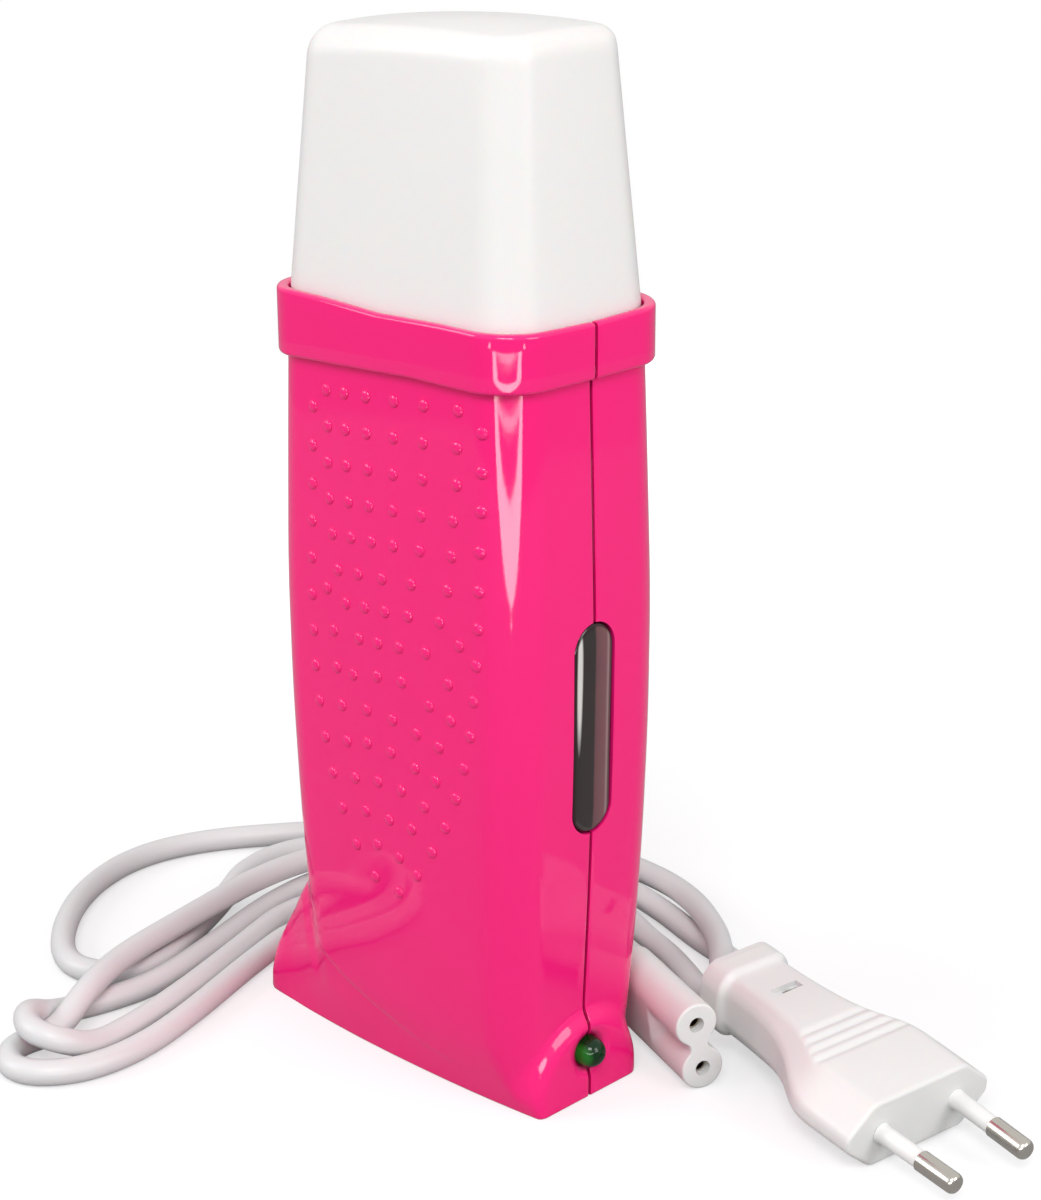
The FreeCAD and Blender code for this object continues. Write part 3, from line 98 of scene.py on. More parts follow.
def within_both(a, b, corner):
    return np.minimum(np.maximum(a, b), -corner) + np.hypot(np.maximum(a + corner, 0), np.maximum(b + corner, 0))


def within_either(a, b, fillet):
    return -within_both(-a, -b, fillet)


def bowed_oblong(x, y, half_x, half_y, corner, bow_x=0.9, bow_y=1.2):
    side = (half_y ** 2 + bow_x ** 2) / (2 * bow_x)
    face = (half_x ** 2 + bow_y ** 2) / (2 * bow_y)
    return within_both(np.hypot(abs(x) - half_x + side, y) - side, np.hypot(x, abs(y) - half_y + face) - face, corner)


def body_level(z, column):
    return sum(np.interp(z + d, BODY_LEVELS[:, 0], BODY_LEVELS[:, column]) for d in range(-8, 9, 2)) / 9


def crease_height(x):
    return np.interp(x, CREASE[:, 0], CREASE[:, 1])


def heater_skin(x, y, z):
    tall = bowed_oblong(x, y, body_level(z, 1), body_level(z, 2), body_level(z, 3))
    edge = 2.6 + 0.14 * np.clip(z - 5, 0, 30)
    slope = (x - TOE_END) * TOE_SLOPE[0] + (z - TOE_LIP) * TOE_SLOPE[1]
    toe = within_both(within_both(TOE_END - x, slope, 5.0), abs(y) - TOE_HALF, edge)
    toe = np.maximum(toe, x - 16.0)
    boss = np.where(z > BOSS_AXIS, np.hypot(y, z - BOSS_AXIS), abs(y)) - BOSS_RADIUS
    boss = np.maximum(within_both(x - BOSS_FACE, boss, 2.8), 10.0 - x)
    # the broad sides lean in over the foot, most of all at the toe and at the lamp
    lean = 0.10 + 0.12 / (1 + np.exp((-27.0 - x) / 2.0)) + 0.10 / (1 + np.exp((4.0 - x) / 8.0))
    flank = abs(y) - (15.55 - 1.9 * ((x + 9) / 36) ** 2 + z * lean)
    heel = 0.4 + edge * np.clip((-29 - x) / 8, 0, 1)
    crest = crease_height(x)
    below = (crest - z) / np.hypot(1, (crease_height(x + 0.3) - crease_height(x - 0.3)) / 0.6)
    crease = (CREASE_STEP * np.clip(below / 0.7, 0, 1) * np.clip(z / crest, 0, 1) * np.clip((abs(y) - 9) / 3, 0, 1)
              * np.clip((16 - x) / 22, 0, 1))
    skin = within_both(within_either(within_either(tall, toe, 1.2), boss, 2.2), flank, heel) + crease
    dish = DISH_RADIUS - np.sqrt((x - DISH_X) ** 2 + y ** 2 + (z - LAMP_HEIGHT) ** 2)
    return within_both(skin, dish, 0.8)


def heater_hollow(x, y, z):
    # the shell's inner side, which keeps its wall's thickness from the inlet's recess too
    _, end, wide, high, _ = INLET_STEPS[0]
    recess = np.maximum(np.maximum(abs(y) - wide, abs(z - INLET_HEIGHT) - high), x - end)
    return np.maximum(heater_skin(x, y, z), -recess) + WALL


def reach(skin, origin, along, far=90.0):
    # how far each ray runs from its origin inside the skin, by halving
    shape = np.broadcast(*origin, *along).shape
    low, high = np.zeros(shape), np.full(shape, float(far))
    for _ in range(36):
        middle = (low + high) / 2
        solid = skin(*(o + a * middle for o, a in zip(origin, along))) < 0
        low, high = np.where(solid, middle, low), np.where(solid, high, middle)
    return (low + high) / 2


def even_angles(skin, z, stop):
    # the outline's length from angle 0 to stop at height z, and the angle for a length along it
    t = np.linspace(0.0, stop, 4001)
    r = reach(skin, (0 * t, 0 * t, z + 0 * t), (np.cos(t), np.sin(t), 0 * t))
    length = np.concatenate(((0,), np.cumsum(np.hypot(np.diff(r * np.cos(t)), np.diff(r * np.sin(t))))))
    return length[-1], lambda s: np.interp(s, length, t)


def grid_of(points):
    # a create_grid sheet whose vertices are moved to points[row, column], in millimetres
    rows, columns = points.shape[:2]
    bm = bmesh.new()
    bmesh.ops.create_grid(bm, x_segments=columns - 1, y_segments=rows - 1, size=0.5)
    sheet = {}
    for v in bm.verts:
        key = (round((v.co.y + 0.5) * (rows - 1)), round((v.co.x + 0.5) * (columns - 1)))
        sheet[key] = v
    for (row, column), v in sheet.items():
        v.co = Vector(points[row, column]) * MM
    return bm, sheet


def new_object(name, data):
    made = bpy.data.objects.new(name, data)
    bpy.context.collection.objects.link(made)
    return made


def object_from(name, bm):
    mesh = bpy.data.meshes.new(name)
    bm.to_mesh(mesh)
    bm.free()
    return new_object(name, mesh)


def dress_piece(piece, material, body, replaced=(), crease=32):
    piece.data.materials.clear()
    piece.data.materials.append(material)
    piece.data.polygons.foreach_set("material_index", [0] * len(piece.data.polygons))
    piece.data.shade_smooth()
    piece.data.set_sharp_from_angle(angle=math.radians(crease))
    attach(piece, body)
    if replaced:
        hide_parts(*replaced)
    return piece


def close_holes(bm):
    bmesh.ops.holes_fill(bm, edges=[e for e in bm.edges if e.is_boundary], sides=0)


def carve(piece, cutters):
    for cutter in cutters:
        step = piece.modifiers.new("cut", "BOOLEAN")
        step.object, step.operation, step.solver = cutter, "DIFFERENCE", "EXACT"
    mesh = bpy.data.meshes.new_from_object(piece.evaluated_get(bpy.context.evaluated_depsgraph_get()))
    piece.modifiers.clear()
    piece.data = mesh
    for cutter in cutters:
        bpy.data.objects.remove(cutter)
    bm = bmesh.new()
    bm.from_mesh(mesh)
    bmesh.ops.remove_doubles(bm, verts=bm.verts, dist=0.0005 * MM)
    close_holes(bm)
    bm.to_mesh(mesh)
    bm.free()


def to_metres(bm, place=Matrix.Identity(4)):
    bmesh.ops.transform(bm, matrix=Matrix.Scale(MM, 4) @ place, verts=bm.verts)


def cutter_from(bm):
    bmesh.ops.recalc_face_normals(bm, faces=bm.faces)
    return object_from("cutter", bm)


def stadium_loop(bm, half_width, half_height, segments=48):
    # upright slot outline in the YZ plane at x = 0, millimetres
    made = bmesh.ops.create_circle(bm, cap_ends=False, segments=segments, radius=half_width)["verts"]
    straight = half_height - half_width
    for v in made:
        across, up = v.co.x, v.co.y
        v.co = (0, across, up + math.copysign(straight, up if abs(up) > 1e-6 else 1))
    return made


def edges_of(verts):
    return list(dict.fromkeys(e for v in verts for e in v.link_edges))


def verts_in(geometry):
    return [g for g in geometry if isinstance(g, bmesh.types.BMVert)]


def window_cutter():
    bm = bmesh.new()
    loop = stadium_loop(bm, WINDOW_HALF_WIDTH, WINDOW_HALF_HEIGHT)
    bmesh.ops.translate(bm, verts=loop, vec=(27.0, 0, 0))
    face = bmesh.ops.contextual_create(bm, geom=edges_of(loop))["faces"]
    raised = bmesh.ops.extrude_face_region(bm, geom=face, use_keep_orig=True)["geom"]
    bmesh.ops.translate(bm, verts=verts_in(raised), vec=(12.0, 0, 0))
    to_metres(bm, Matrix.Translation((AXIS_X, 0, WINDOW_HEIGHT)))
    return cutter_from(bm)


def rod_cutter(radius, start, stop, place, turn=Matrix.Identity(4)):
    bm = bmesh.new()
    bmesh.ops.create_cone(bm, cap_ends=True, segments=48, radius1=radius, radius2=radius, depth=stop - start,
                          matrix=Matrix.Translation(((start + stop) / 2, 0, 0)) @ Matrix.Rotation(math.pi / 2, 4, "Y"))
    to_metres(bm, Matrix.Translation(place) @ turn)
    return cutter_from(bm)


def box_cutter(low, high, rounding):
    bm = bmesh.new()
    middle, span = [(a + b) / 2 for a, b in zip(low, high)], [b - a for a, b in zip(low, high)]
    bmesh.ops.create_cube(bm, size=1.0, matrix=Matrix.Translation(middle) @ Matrix.Diagonal((*span, 1)))
    along_x = [e for e in bm.edges if abs((e.verts[0].co - e.verts[1].co).normalized().x) > 0.9]
    bmesh.ops.bevel(bm, geom=along_x, offset=rounding, segments=5, affect="EDGES", profile=0.5, material=-1)
    to_metres(bm)
    return cutter_from(bm)


def half_shell(side):
    length, angle_at = even_angles(heater_skin, 90.0, math.pi)
    main = angle_at(np.linspace(0.9, length - 0.9, 176))
    # distance from the seam plane and depth below the skin, down the side of the seam groove
    ends = ((SEAM_GAP, SEAM_DEEP), (SEAM_HALF, SEAM_DEEP), (SEAM_HALF, 0.16), (SEAM_HALF + 0.05, 0.05),
            (SEAM_HALF + 0.16, 0.0))
    start_y = np.array([max(y, SEAM_HALF) for y, _ in ends] + [SEAM_HALF] * len(main)
                       + [max(y, SEAM_HALF) for y, _ in ends[::-1]])
    inset = np.array([d for _, d in ends] + [0.0] * len(main) + [d for _, d in ends[::-1]])
    angle = np.concatenate(([0.0] * len(ends), main, [math.pi] * len(ends)))
    run, cross = np.cos(angle), np.sin(angle) * side
    origin_y = start_y * side

    def radius(skin, z):
        z = z + 0 * run
        return reach(skin, (0 * run, origin_y, z), (run, cross, 0 * run))

    def oblong_radius(size, shift=0.0):
        return radius(lambda x, y, z: bowed_oblong(x, y + shift, *size), COLLAR_BASE)

    neck_x = radius(heater_skin, 139.0) * run
    band_low = COLLAR_BASE - 2.0 * np.clip((8 - neck_x) / 34, 0, 1)
    band_top = COLLAR_TOP + 0.5 * np.clip(abs(cross) * 1.2, 0, 1) * np.clip(abs(run) * 1.6, 0, 1)
    outer, seat, lip, edge = oblong_radius(COLLAR), oblong_radius(POCKET), oblong_radius(MOUTH, 1.0), COLLAR_EDGE
    # each row: distance from the axis, height, and how the seam groove cuts in, outward and upward
    rows = [(radius(heater_skin, 0.0) - 1.2, 0 * run, 0, 0)]
    for a in np.radians((0, 30, 60, 90)):
        z = SOLE_EDGE * (1 - math.cos(a))
        rows.append((radius(heater_skin, z) - SOLE_EDGE * (1 - math.sin(a)), z + 0 * run, math.sin(a), -math.cos(a)))
    for z in np.arange(0.8, FINE_TOP + 0.1, 0.36):
        rows.append((radius(heater_skin, z), z + 0 * run, 1, 0))
    for s in np.linspace(0.02, 1, 60):
        z = FINE_TOP + (band_low - 0.25 - FINE_TOP) * s
        rows.append((radius(heater_skin, z), z, 1, 0))
    rows.append((radius(heater_skin, band_low) + 0.25, band_low, 0.5, -0.5))
    for a in np.radians(np.linspace(0, 90, 6)):
        rows.append((outer - edge * (1 - math.sin(a)), band_low + edge * (1 - math.cos(a)), math.sin(a), -math.cos(a)))
    for s in (0.25, 0.5, 0.75):
        rows.append((outer, band_low + edge + (band_top - band_low - 2 * edge) * s, 1, 0))
    for a in np.radians(np.linspace(0, 90, 6)):
        rows.append((outer - edge * (1 - math.cos(a)), band_top - edge * (1 - math.sin(a)), math.cos(a), math.sin(a)))
    for a in np.radians(np.linspace(0, 90, 4)):
        rows.append((seat + LIP_EDGE * (1 - math.sin(a)), band_top - LIP_EDGE * (1 - math.cos(a)), -math.sin(a),
                     math.cos(a)))
    rows += [(seat, 148 + 0 * run, -1, 0), (seat, POCKET_FLOOR + 0 * run, -0.5, 0.5),
             (lip, POCKET_FLOOR + 0 * run, 0, 0.5), (lip, MOUTH_FOOT + 0 * run, 0, 0)]
    for z in (MOUTH_FOOT, 134, 120, 105, 90, 75, 60, 48, 40, 34, 28, 24, 21, 20.8, 17, 13, 9, 5.2, 5.0, 3.5, WALL):
        rows.append((radius(heater_hollow, z), z + 0 * run, 0, 0))
    points = np.zeros((len(rows), len(run), 3))
    for i, (distance, z, out, up) in enumerate(rows):
        points[i, :, 0] = run * (distance - inset * out) + AXIS_X
        points[i, :, 1] = origin_y + cross * (distance - inset * out)
        points[i, :, 2] = z - inset * up
        points[i, (0, -1), 1] = SEAM_GAP * side
    bm, sheet = grid_of(points)
    last, right = len(rows) - 1, len(run) - 1
    bm.faces.new([sheet[0, j] for j in range(right + 1)])
    bm.faces.new([sheet[last, j] for j in range(right + 1)])
    bm.faces.new([sheet[i, 0] for i in range(last + 1)] + [sheet[i, right] for i in range(last, -1, -1)])
    bmesh.ops.remove_doubles(bm, verts=bm.verts, dist=2e-6)
    bmesh.ops.recalc_face_normals(bm, faces=bm.faces)
    shell = object_from("front_half_shell" if side < 0 else "rear_half_shell", bm)
    cutters = [window_cutter(), rod_cutter(LAMP_BORE, 20, 40, (AXIS_X, 0, LAMP_HEIGHT))]
    for start, stop, wide, high, corner in INLET_STEPS:
        cutters.append(box_cutter((start + AXIS_X, -wide, INLET_HEIGHT - high),
                                  (stop + AXIS_X, wide, INLET_HEIGHT + high), corner))
    if side > 0:
        cutters += [rod_cutter(SCREW_BORE, 8, 40, place, ALONG_Y) for place in SCREW_PLACES]
    carve(shell, cutters)
    return shell


def preset(node, **values):
    for label, value in values.items():
        node.inputs[label.replace("_", " ")].default_value = value


def wire(link, *wires):
    for source, output, target, entry in wires:
        link(source.outputs[output], target.inputs[entry])


def new_nodes(nodes, *kinds):
    return [nodes.new("ShaderNode" + kind) for kind in kinds]


def surface_finish():
    # what a moulding tool leaves: slow shifts of tone and gloss, and a fine skin texture
    group = bpy.data.node_groups.new("moulded_finish", "ShaderNodeTree")
    for label, kind, start in (("Tone", "NodeSocketColor", (0.5, 0.5, 0.5, 1)), ("Tone shift", "NodeSocketFloat", 0.03),
                               ("Roughness", "NodeSocketFloat", 0.3), ("Roughness shift", "NodeSocketFloat", 0.05),
                               ("Patch scale", "NodeSocketFloat", 40.0), ("Grain scale", "NodeSocketFloat", 1500.0),
                               ("Grain share", "NodeSocketFloat", 0.3)):
        group.interface.new_socket(name=label, in_out="INPUT", socket_type=kind).default_value = start
    for label, kind in (("Color", "NodeSocketColor"), ("Roughness", "NodeSocketFloat"), ("Height", "NodeSocketFloat")):
        group.interface.new_socket(name=label, in_out="OUTPUT", socket_type=kind)
    node, link = group.nodes.new, group.links.new
    given, out = node("NodeGroupInput"), node("NodeGroupOutput")
    where = node("ShaderNodeTexCoord")
    patch, grain = node("ShaderNodeTexNoise"), node("ShaderNodeTexNoise")
    preset(patch, Detail=4.0)
    preset(grain, Detail=2.0)
    for noise, scale in ((patch, "Patch scale"), (grain, "Grain scale")):
        wire(link, (where, "Object", noise, "Vector"), (given, scale, noise, "Scale"))

    def math_node(operation, a, b):
        step = node("ShaderNodeMath")
        step.operation = operation
        for socket, value in zip(step.inputs, (a, b)):
            if hasattr(value, "links"):
                link(value, socket)
            else:
                socket.default_value = value
        return step.outputs[0]

    centred = math_node("SUBTRACT", patch.outputs["Fac"], 0.5)
    brighter = math_node("ADD", math_node("MULTIPLY", centred, given.outputs["Tone shift"]), 1.0)
    tint = node("ShaderNodeVectorMath")
    tint.operation = "SCALE"
    link(given.outputs["Tone"], tint.inputs[0])
    link(brighter, tint.inputs["Scale"])
    link(tint.outputs[0], out.inputs["Color"])
    link(math_node("ADD", given.outputs["Roughness"], math_node("MULTIPLY", centred, given.outputs["Roughness shift"])),
         out.inputs["Roughness"])
    fine = math_node("MULTIPLY", grain.outputs["Fac"], given.outputs["Grain share"])
    link(math_node("ADD", patch.outputs["Fac"], fine), out.inputs["Height"])
    return group


finish_group = surface_finish()


def new_material(name):
    material = bpy.data.materials.new(name)
    material.use_nodes = True
    tree = material.node_tree
    return material, tree.nodes, tree.links.new, tree.nodes["Principled BSDF"]


def moulded(name, tone, roughness, tone_shift=0.03, gloss_shift=0.05, patch=40.0, grain=1500.0, grain_share=0.3,
            relief=0.02, depth=0.0002, **constants):
    material, nodes, link, shader = new_material(name)
    marks, bump = new_nodes(nodes, "Group", "Bump")
    marks.node_tree = finish_group
    preset(marks, Tone=(*tone, 1), Tone_shift=tone_shift, Roughness=roughness, Roughness_shift=gloss_shift,
           Patch_scale=patch, Grain_scale=grain, Grain_share=grain_share)
    preset(bump, Strength=relief, Distance=depth)
    wire(link, (marks, "Height", bump, "Height"), (marks, "Color", shader, "Base Color"),
         (marks, "Roughness", shader, "Roughness"), (bump, "Normal", shader, "Normal"))
    preset(shader, **constants)
    return material


pink_abs = moulded("pink_high_gloss_abs", (0.885, 0.010, 0.185), 0.06, tone_shift=0.05, gloss_shift=0.03, patch=30.0,
                   grain=900.0, grain_share=0.15, relief=0.05, depth=0.0003, IOR=1.45)


def masked(material, tint, darker_at, inside, outside):
    # mixes a second tint into the base colour where darker_at(object position) lies on
    # the inside limit's side, which may be the smaller value or the larger
    nodes, link = material.node_tree.nodes, material.node_tree.links.new
    base = nodes["Principled BSDF"].inputs["Base Color"]
    before = base.links[0].from_socket
    edge, mix, where = new_nodes(nodes, "MapRange", "Mix", "TexCoord")
    preset(edge, From_Min=inside, From_Max=outside, To_Min=1.0, To_Max=0.0)
    mix.data_type = "RGBA"
    link(darker_at(nodes, link, where.outputs["Object"]), edge.inputs["Value"])
    link(edge.outputs["Result"], mix.inputs["Factor"])
    link(before, mix.inputs["A"])
    mix.inputs["B"].default_value = (*tint, 1)
    link(mix.outputs["Result"], base)


def vector_step(nodes, link, operation, first, second=None):
    step = nodes.new("ShaderNodeVectorMath")
    step.operation = operation
    link(first, step.inputs[0])
    if second is not None:
        step.inputs[1].default_value = second
    return step.outputs["Value" if operation == "LENGTH" else "Vector"]


def scaled_length(centre, scale, flat=0.0):
    # distance from a centre with each axis weighted, less a flat stretch along Z
    def build(nodes, link, position):
        away = vector_step(nodes, link, "SUBTRACT", position, centre)
        if flat:
            away = vector_step(nodes, link, "ABSOLUTE", away)
            away = vector_step(nodes, link, "SUBTRACT", away, (0, 0, flat))
            away = vector_step(nodes, link, "MAXIMUM", away, (0, 0, 0))
        return vector_step(nodes, link, "LENGTH", vector_step(nodes, link, "MULTIPLY", away, scale))
    return build


# painted shade: the pink is darkened along the seam groove and round the lamp's dished seat, where they hold little
# light
masked(pink_abs, (0.22, 0.0, 0.03), scaled_length((0, 0, 0), (0, 1, 0)), 0.00030, 0.00037)
lamp_seat = ((AXIS_X + 32) * MM, 0, LAMP_HEIGHT * MM)
masked(pink_abs, (0.30, 0.0, 0.045), scaled_length(lamp_seat, (0.5, 1, 1)), 0.0032, 0.0044)
for side, node in ((-1, "front_shell"), (1, "rear_shell")):
    dress_piece(half_shell(side), pink_abs, "housing", (node,))

# ---- Grip nubs ----
# Low round nubs stand on both broad sides where the hand holds the heater. They are
# part of the shells, pressed into the tool: straight rows inside a U of single nubs.
NUB_RADIUS = 1.2
NUB_SIDES = 14
NUB_SUNK = 0.35


def nub_places():
    rows = [(134.6, 0.075, (-14.6, -9.6, -3.8, 3.6, 11.1, 19.4)), (127.9, 0.075, (-14.3, -9.4, -3.6, 3.4, 10.9, 19.2)),
            (121.1, 0.08, (-14.4, -9.2, -3.4, 3.3, 10.8, 19.1)), (114.3, 0.085, (-14.1, -8.8, -3.2, 3.2, 10.4, 18.3)),
            (107.6, 0.09, (-13.4, -8.2, -2.6, 3.2, 10.0, 17.9)), (100.8, 0.1, (-12.0, -6.3, 0.1, 7.8, 16.9)),
            (94.6, 0.1, (-9.9, -4.7, 0.8, 6.9, 14.9)), (88.2, 0.1, (-6.5, -1.3, 4.3, 11.3)), (81.6, 0.1, (-1.7, 4.9)),
            (75.3, 0.0, (-4.8, 2.2)), (68.6, 0.0, (-5.0, 1.5)), (61.6, 0.0, (-2.3, 4.0)), (54.6, 0.0, (0.4, 6.5))]
    for base, climb, across in rows:
        for x in across:
            yield x, base + climb * (x + 14)
    for x, z in ((-18.4, 130.8), (-18.7, 123.4), (-18.9, 116.1), (-19.2, 108.9), (-19.5, 101.7), (-19.7, 94.4),
                 (-19.6, 87.3), (-19.3, 80.3), (-18.5, 73.3), (-17.2, 66.3), (-15.4, 59.4), (-12.9, 52.9),
                 (-9.3, 46.4), (-4.3, 41.3), (2.2, 40.1), (7.4, 45.3), (11.7, 51.5), (15.3, 57.6), (18.2, 64.2),
                 (20.4, 70.8), (22.1, 77.5), (23.0, 84.5), (23.8, 91.4), (24.2, 98.4), (24.4, 105.4), (24.6, 112.6),
                 (24.8, 120.0), (24.8, 127.0), (24.8, 134.0), (-15.2, 96.7), (-13.6, 88.8), (-13.0, 81.6),
                 (-11.9, 74.3), (-10.8, 67.3), (-8.8, 60.4), (-6.1, 54.4), (-3.3, 48.3), (-8.4, 81.4), (2.7, 47.5),
                 (8.5, 74.3), (7.9, 67.3), (10.1, 60.2), (12.0, 80.7), (14.2, 73.2), (13.2, 66.2), (16.9, 86.2),
                 (17.4, 79.3), (19.7, 94.2)):
        yield x, z


def place_piece(name, bm, material, body, slot, replaced=(), crease=32):
    bmesh.ops.recalc_face_normals(bm, faces=bm.faces)
    return dress_piece(object_from(name, bm), material, body, replaced, crease)


def next_ring(bm, edges):
    grown = bmesh.ops.extrude_edge_only(bm, edges=edges)["geom"]
    return verts_in(grown), [g for g in grown if isinstance(g, bmesh.types.BMEdge)]


def grip_nubs(side):
    bm = bmesh.new()
    for x, z in nub_places():
        across, up = np.array((x, x + 0.5, x)), np.array((z, z, z + 0.5))
        y = reach(heater_skin, (across, 0 * across, up), (0 * across, side + 0 * across, 0 * across)) * side
        out = Vector((0.5, y[1] - y[0], 0)).cross(Vector((0, y[2] - y[0], 0.5))).normalized()
        if out.y * side < 0:
            out.negate()
        turn = out.to_track_quat("Z", "X").to_matrix().to_4x4()
        ring = bmesh.ops.create_circle(bm, cap_ends=False, segments=NUB_SIDES, radius=NUB_RADIUS)["verts"]
        whole = list(ring)
        bmesh.ops.translate(bm, verts=ring, vec=(0, 0, -NUB_SUNK))
        edges = edges_of(ring)
        for size, lift in ((1.0, NUB_SUNK), (0.93, 0.2), (0.72, 0.17), (0.42, 0.1)):
            ring, edges = next_ring(bm, edges)
            level = ring[0].co.z + lift
            for v in ring:
                flat = Vector((v.co.x, v.co.y)).normalized() * NUB_RADIUS * size
                v.co = (flat.x, flat.y, level)
            whole += ring
        bmesh.ops.contextual_create(bm, geom=edges)
        bmesh.ops.contextual_create(bm, geom=[e for e in edges_of(whole[:NUB_SIDES]) if e.is_boundary])
        place = Matrix.Translation(Vector((x, y[0], z)) + Vector((AXIS_X, 0, 0))) @ turn
        bmesh.ops.transform(bm, matrix=Matrix.Scale(MM, 4) @ place, verts=whole)
    name = "front_grip_nubs" if side < 0 else "rear_grip_nubs"
    return place_piece(name, bm, pink_abs, "housing", "pink_shell", crease=60)


for nub_side in (-1, 1):
    grip_nubs(nub_side)

# ---- Cap ----
# A thin-walled lift-off cap of milky polypropylene, drafted on all four sides, with a
# top that is crowned both ways. Its rim drops into the collar and rests on the ledge.
CAP_RIM = 143.3
CAP_WALL = 1.5
# half x, half y and corner where the draft starts, and how far each side leans in
CAP_FOOT = (30.8, 20.0, 7.6)
CAP_DRAFT = 4.3
DRAFT_START = 151.6
DRAFT_RUN = 53.4
CROWN_AXIS = 30.5
CROWN_ACROSS = 170.0
CROWN_ALONG = 300.0
CROWN_X = 12.0


def cap_skin(x, y, z):
    half_x, half_y, corner = CAP_FOOT
    lean = np.clip((z - DRAFT_START) / DRAFT_RUN, 0, 2) * CAP_DRAFT
    sides = bowed_oblong(x, y, half_x - lean, half_y - lean, corner - 0.35 * lean)
    top = np.hypot(y, z - CROWN_AXIS) + (CROWN_ALONG - CROWN_ACROSS) - np.sqrt(CROWN_ALONG ** 2 - (x - CROWN_X) ** 2)
    return within_both(sides, top, 3.9 - 0.03 * x)


def skin_row(skin, start, along, far=90.0):
    # the points where a row of rays leaves the skin
    r = reach(skin, start, along, far)
    return np.stack([s + a * r for s, a in zip(start, along)], axis=1)


def cap_rows(skin, angle, outer):
    run, cross, none = np.cos(angle), np.sin(angle), 0 * angle
    heights = np.linspace(CAP_RIM + 0.3, DRAFT_START, 6), np.linspace(153, 184, 26 if outer else 8)
    rows = [skin_row(skin, (none, none, z + none), (run, cross, none)) for z in np.concatenate(heights)]
    pivot = np.hypot(rows[-1][:, 0], rows[-1][:, 1]) - 7.0
    for a in np.radians(np.linspace(4, 86, 22 if outer else 10)):
        rows.append(skin_row(skin, (run * pivot, cross * pivot, 185.5 + none),
                             (run * math.cos(a), cross * math.cos(a), math.sin(a) + none), far=40))
    ring = np.hypot(rows[-1][:, 0], rows[-1][:, 1])
    for share in np.linspace(0.95, 0.0, 18 if outer else 8):
        rows.append(skin_row(skin, (run * ring * share, cross * ring * share, 160.0 + none),
                             (none, none, 1 + none), far=60))
    return rows


cap_length, cap_angle = even_angles(cap_skin, 150.0, 2 * math.pi)
angles = cap_angle(np.linspace(0, cap_length, 209))
outside = cap_rows(cap_skin, angles, True)
inside = cap_rows(lambda x, y, z: cap_skin(x, y, z) + CAP_WALL, angles, False)
rim = [0.7 * outside[0] + 0.3 * inside[0], 0.3 * outside[0] + 0.7 * inside[0]]
for ring_points in rim:
    ring_points[:, 2] = CAP_RIM
cap_points = np.array(inside[::-1] + rim[::-1] + outside)
cap_points[:, :, 0] += AXIS_X
bm, _ = grid_of(cap_points)
bmesh.ops.remove_doubles(bm, verts=bm.verts, dist=2e-6)
milky_pp = moulded("milky_polypropylene", (0.80, 0.765, 0.755), 0.33, tone_shift=0.02, grain=700.0, grain_share=0.4,
                   Subsurface_Weight=0.25, Subsurface_Scale=0.004, IOR=1.49)
place_piece("milky_cap_shell", bm, milky_pp, "cap_part", "milky_cap", ("cap",), crease=50)

# ---- Level window ----
# A smoked clear lens snapped in from inside, a hair proud of the narrow side. In the
# heater the wax level shows through it against the slot in the chamber behind; here the
# lens lets no light through, and bands painted across its width stand for that view and
# for painted reflections.
LENS_STEPS = ((-1.7, 29.0), (-1.7, 30.2), (0.3, 30.2), (0.3, 31.8), (0.34, 32.05), (0.5, 32.25), (0.8, 32.38),
              (1.4, 32.46), (2.4, 32.52), (3.4, 32.56), (4.4, 32.58), (5.1, 32.6))
LENS_STRAIGHT = WINDOW_HALF_HEIGHT - WINDOW_HALF_WIDTH
LENS_PROUD = 0.35
BODY_AT_WINDOW = 32.85
bm = bmesh.new()
loop = stadium_loop(bm, 1.0, 2.0, 64)
order = [(v.co.y, v.co.z - math.copysign(1.0, v.co.z)) for v in loop]
edges = edges_of(loop)
for k, (inset, x) in enumerate(LENS_STEPS):
    if k:
        loop, edges = next_ring(bm, edges)
    for v, (across, up) in zip(loop, order):
        z = WINDOW_HEIGHT + up * (WINDOW_HALF_WIDTH - inset) + math.copysign(LENS_STRAIGHT, up if abs(up) > 1e-6 else 1)
        # the lens's face, past its first two rings, bows with the body
        bow = body_level(z, 1) - BODY_AT_WINDOW + LENS_PROUD if k > 1 else 0.0
        v.co = (x + bow + AXIS_X, across * (WINDOW_HALF_WIDTH - inset), z)
close_holes(bm)
to_metres(bm)
smoked, nodes, link, shader = new_material("smoked_lens")
where, split, span, ramp, marks, tint = new_nodes(nodes, "TexCoord", "SeparateXYZ", "MapRange", "ValToRGB",
                                                  "TexNoise", "MixRGB")
wire(link, (where, "Object", split, 0), (split, "Y", span, "Value"))
preset(span, From_Min=-0.0051, From_Max=0.0051)
# painted bands across the lens's width: painted reflections over the painted view of the slot behind
ramp.color_ramp.elements[0].color = (0.02, 0.012, 0.012, 1)
for place, shade in ((0.20, (0.028, 0.02, 0.02, 1)), (0.50, (0.03, 0.02, 0.02, 1)), (0.55, (0.15, 0.06, 0.07, 1)),
                     (0.80, (0.20, 0.08, 0.09, 1)), (0.86, (0.33, 0.22, 0.22, 1)), (0.90, (0.12, 0.03, 0.04, 1))):
    ramp.color_ramp.elements.new(place).color = shade
ramp.color_ramp.elements[-1].color = (0.03, 0.01, 0.015, 1)
wire(link, (span, "Result", ramp, "Fac"), (where, "Object", marks, "Vector"))
preset(marks, Scale=160.0)
tint.blend_type = "MULTIPLY"
preset(tint, Fac=0.25)
wire(link, (ramp, "Color", tint, "Color1"), (marks, "Color", tint, "Color2"), (tint, "Color", shader, "Base Color"))
preset(shader, Roughness=0.08, IOR=1.45)
